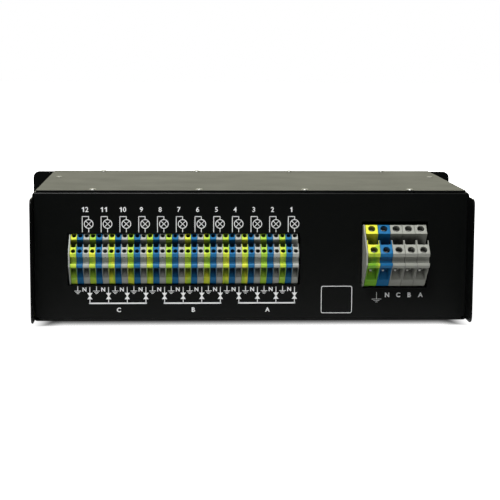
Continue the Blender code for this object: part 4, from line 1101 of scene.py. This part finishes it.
piece("control_module_moulded", softened(of_node("control_module"), 0.6 * MM, 3), control_plastic,
      ["control_module"])
piece("display_glass", softened(of_node("display_window"), 0.2 * MM), dark_glass,
      ["display_window"])
first_x = module_x - 1.5 * DIGIT_PITCH
corners = {(side, rise): (first_x + side * DIGIT_HALF_WIDTH, DIGIT_Z + rise * DIGIT_HALF_HEIGHT)
           for side in (-1, 1) for rise in (-1, 0, 1)}
bars = [segment(*corners[(-1, rise)], *corners[(1, rise)]) for rise in (-1, 0, 1)]
bars += [segment(*corners[(side, rise)], *corners[(side, rise + 1)]) for side in (-1, 1) for rise in (-1, 0)]
digits = grown(on_front(bars, glass_y), row_tree, count=4, step=DIGIT_PITCH * MM, finish=unlit)
piece("display_digits", digits, unlit)

# %% [markdown]
# Each button's cap is turned, because it is round, with a shallow dish for the finger. Its symbol
# is a piece of its own that rides on the same body, so it goes in with the cap when it is pressed.

# %% Buttons
button_plastic = surface("button_plastic", (0.22, 0.22, 0.23), 0.45, 0.4, specular=0.35)
BUTTON_PROFILE = [(0, 1.8), (2.4, 1.9), (3.1, 2.2), (3.6, 2.1), (3.9, 1.8), (4.0, 1.4), (4.0, -5), (0, -5)]
DISH = 1.86 * MM
SYMBOLS = {
    "menu": lambda x, z: [stroke(x - 1.5, z + rise, x + 1.5, z + rise, 0.45) for rise in (-1.1, 0, 1.1)],
    "down": lambda x, z: [[(x - 1.6, z + 0.9), (x, z - 1.3), (x + 1.6, z + 0.9)]],
    "up": lambda x, z: [[(x - 1.6, z - 0.9), (x, z + 1.3), (x + 1.6, z - 0.9)]],
    "enter": lambda x, z: [rectangle(x - 1.1, x + 1.1, z - 1.1, z + 1.1)]}

for name, drawn in SYMBOLS.items():
    low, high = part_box("button_" + name)
    x = (low.x + high.x) / 2
    z = (low.z + high.z) / 2
    cap = turned(millimetres(BUTTON_PROFILE), 40, (x, bezel_y, z))
    cap.shade_smooth()
    cap.set_sharp_from_angle(angle=math.radians(40))
    piece(f"button_{name}_cap", cap, button_plastic, ["button_" + name], body="button_" + name)
    mark = on_front(drawn(x / MM, z / MM), bezel_y + DISH)
    piece(f"button_{name}_symbol", mark, white_ink, body="button_" + name)

# %% [markdown]
# The data sockets are die-cast and plated in dark nickel. Both have the same flange and barrel, so
# one function draws the shell. The input has a deep well with three pins over a black liner. They
# are drawn anew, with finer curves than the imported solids.

# %% Input socket
nickel = surface("dark_nickel", (0.30, 0.30, 0.31), 0.3, metallic=1.0)
insert_plastic = surface("insert_plastic", (0.012, 0.012, 0.013), 0.5, 0.4, specular=0.35)
SOCKET_Z = 32
INPUT_X = 156
OUTPUT_X = 88
PINS = ((-3.9, 1.7), (3.9, 1.7), (0.0, -4.2))
PIN_PROFILE = [(0, -1.5), (0.6, -1.6), (1.0, -2.0), (1.2, -2.6), (1.2, -14.5), (0, -14.5)]
socket_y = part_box("dmx_in")[1].y


def bar(outline, start, end):
    """Bar along Y between two depths from the socket's face, in millimetres."""
    return prism(millimetres(outline), socket_y + start * MM, socket_y + end * MM, along_y)


def disc(x, z, radius, start, end, steps=48):
    return bar(circle(x, z, radius, steps), start, end)


def pin_bores(x, radius, start, end):
    return [disc(x + a, SOCKET_Z + b, radius, start, end, 20) for a, b in PINS]


def shell(x, bore, depth):
    """Flange and barrel with a round bore."""
    flange = bar(rounded(x - 13, x + 13, SOCKET_Z - 15.5, SOCKET_Z + 15.5, 3), -2, 0)
    whole = softened(fuse(flange, disc(x, SOCKET_Z, 11.8, -22, -1)), 0.35 * MM, 3)
    return cut(whole, disc(x, SOCKET_Z, bore, -depth, 3))


pins = [turned(millimetres(PIN_PROFILE), 20, ((INPUT_X + a) * MM, socket_y, (SOCKET_Z + b) * MM))
        for a, b in PINS]
piece("dmx_in_shell", fuse(shell(INPUT_X, 8.6, 14), *pins), nickel, ["dmx_in"])
liner = cut(disc(INPUT_X, SOCKET_Z, 8.5, -13.9, -13.2), *pin_bores(INPUT_X, 1.35, -15, -12))
piece("dmx_in_liner", liner, insert_plastic, ["dmx_in"])

# %% [markdown]
# The output has a black insert with three bores, a ring groove round it and a push tab over it,
# which slides. Four small screws fix each socket. Plain arrows under them say which way the data
# goes: into the unit under the input, out of it under the output.

# %% Output socket, screws and arrows
TAB_Z = SOCKET_Z + 12.3

window = bar(rectangle(OUTPUT_X - 3.85, OUTPUT_X + 3.85, TAB_Z - 1.65, TAB_Z + 1.65), -4.6, 1)
piece("dmx_out_shell", cut(shell(OUTPUT_X, 9.6, 12), window), nickel, ["dmx_out"])
core = softened(disc(OUTPUT_X, SOCKET_Z, 7.7, -13, 0), 0.4 * MM)
core = cut(core, *pin_bores(OUTPUT_X, 1.4, -10, 2))
piece("dmx_out_insert", core, insert_plastic, ["dmx_out"])
piece("dmx_out_push_tab", softened(of_node("dmx_out_latch"), 0.35 * MM), nickel,
      ["dmx_out_latch"], body="latch")
places = [(x * MM + a, socket_y, SOCKET_Z * MM + b) for x in (OUTPUT_X, INPUT_X)
          for a in (-10 * MM, 10 * MM) for b in (-12.2 * MM, 12.2 * MM)]
screws("socket_screws", places, FACE_FRONT, 1.7, 0.9, (0.45, 2.0), 9, dark_steel)
arrows = []
for x, rise in ((INPUT_X, 1), (OUTPUT_X, -1)):
    tip = 11.2 + rise * 3.4
    arrows.append(stroke(x, 9.0, x, 13.4, 0.8))
    arrows.append([(x - 1.8, tip - rise * 2.2), (x, tip), (x + 1.8, tip - rise * 2.2)][::rise])
arrows = joined([on_front([shape], front_y) for shape in arrows])
piece("socket_arrows", arrows, white_ink)

# %% [markdown]
# The front panel is held to the case by four flat screws, and the floor plate by eight countersunk
# ones whose heads lie in shallow bores, so that nothing stands below the case.

# %% Fixing screws
places = [(x * MM, front_y, z * MM) for x in (-208, 208) for z in (16, 116)]
screws("front_panel_screws", places, FACE_FRONT, 3.0, 1.1, (0.8, 3.4), 11, dark_steel)
screws("floor_screws", FLOOR_SCREWS, FACE_DOWN, 3.0, 0.8, (0.7, 3.2), 12, worn_zinc)

# %% [markdown]
# What stays as packed, behind the vents and under the cover, still needs its finish: plated steel
# for the rails, carriers and the supply's case, bare aluminium for the heat sink, green resist on
# the boards and black plastic for the fan. The finishes go on the objects' own material slots.

# %% Finishes inside the case
plated_steel = surface("plated_steel", (0.55, 0.55, 0.52), 0.35, 0.8, metallic=1.0)
aluminium = surface("bare_aluminium", (0.68, 0.69, 0.70), 0.42, metallic=1.0)
resist = surface("green_resist", (0.02, 0.16, 0.06), 0.35, 0.8)
fan_plastic = surface("fan_plastic", (0.018, 0.018, 0.018), 0.55, 0.4, 0.02, specular=0.35)
inside = {
    plated_steel: ("channel_din_rail", "channel_rail_carrier", "mains_din_rail", "mains_rail_carrier",
                   "breaker_din_rail", "breaker_rail_post_left", "breaker_rail_post_right", "power_supply"),
    aluminium: ("heat_sink",),
    resist: ("triac_board", "control_board"),
    fan_plastic: ("fan_frame", "fan_rotor")}
for finish, names in inside.items():
    for name in names:
        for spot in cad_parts[name].material_slots:
            spot.link = "OBJECT"
            spot.material = finish
    print(finish.name, "on", len(names), "solids")
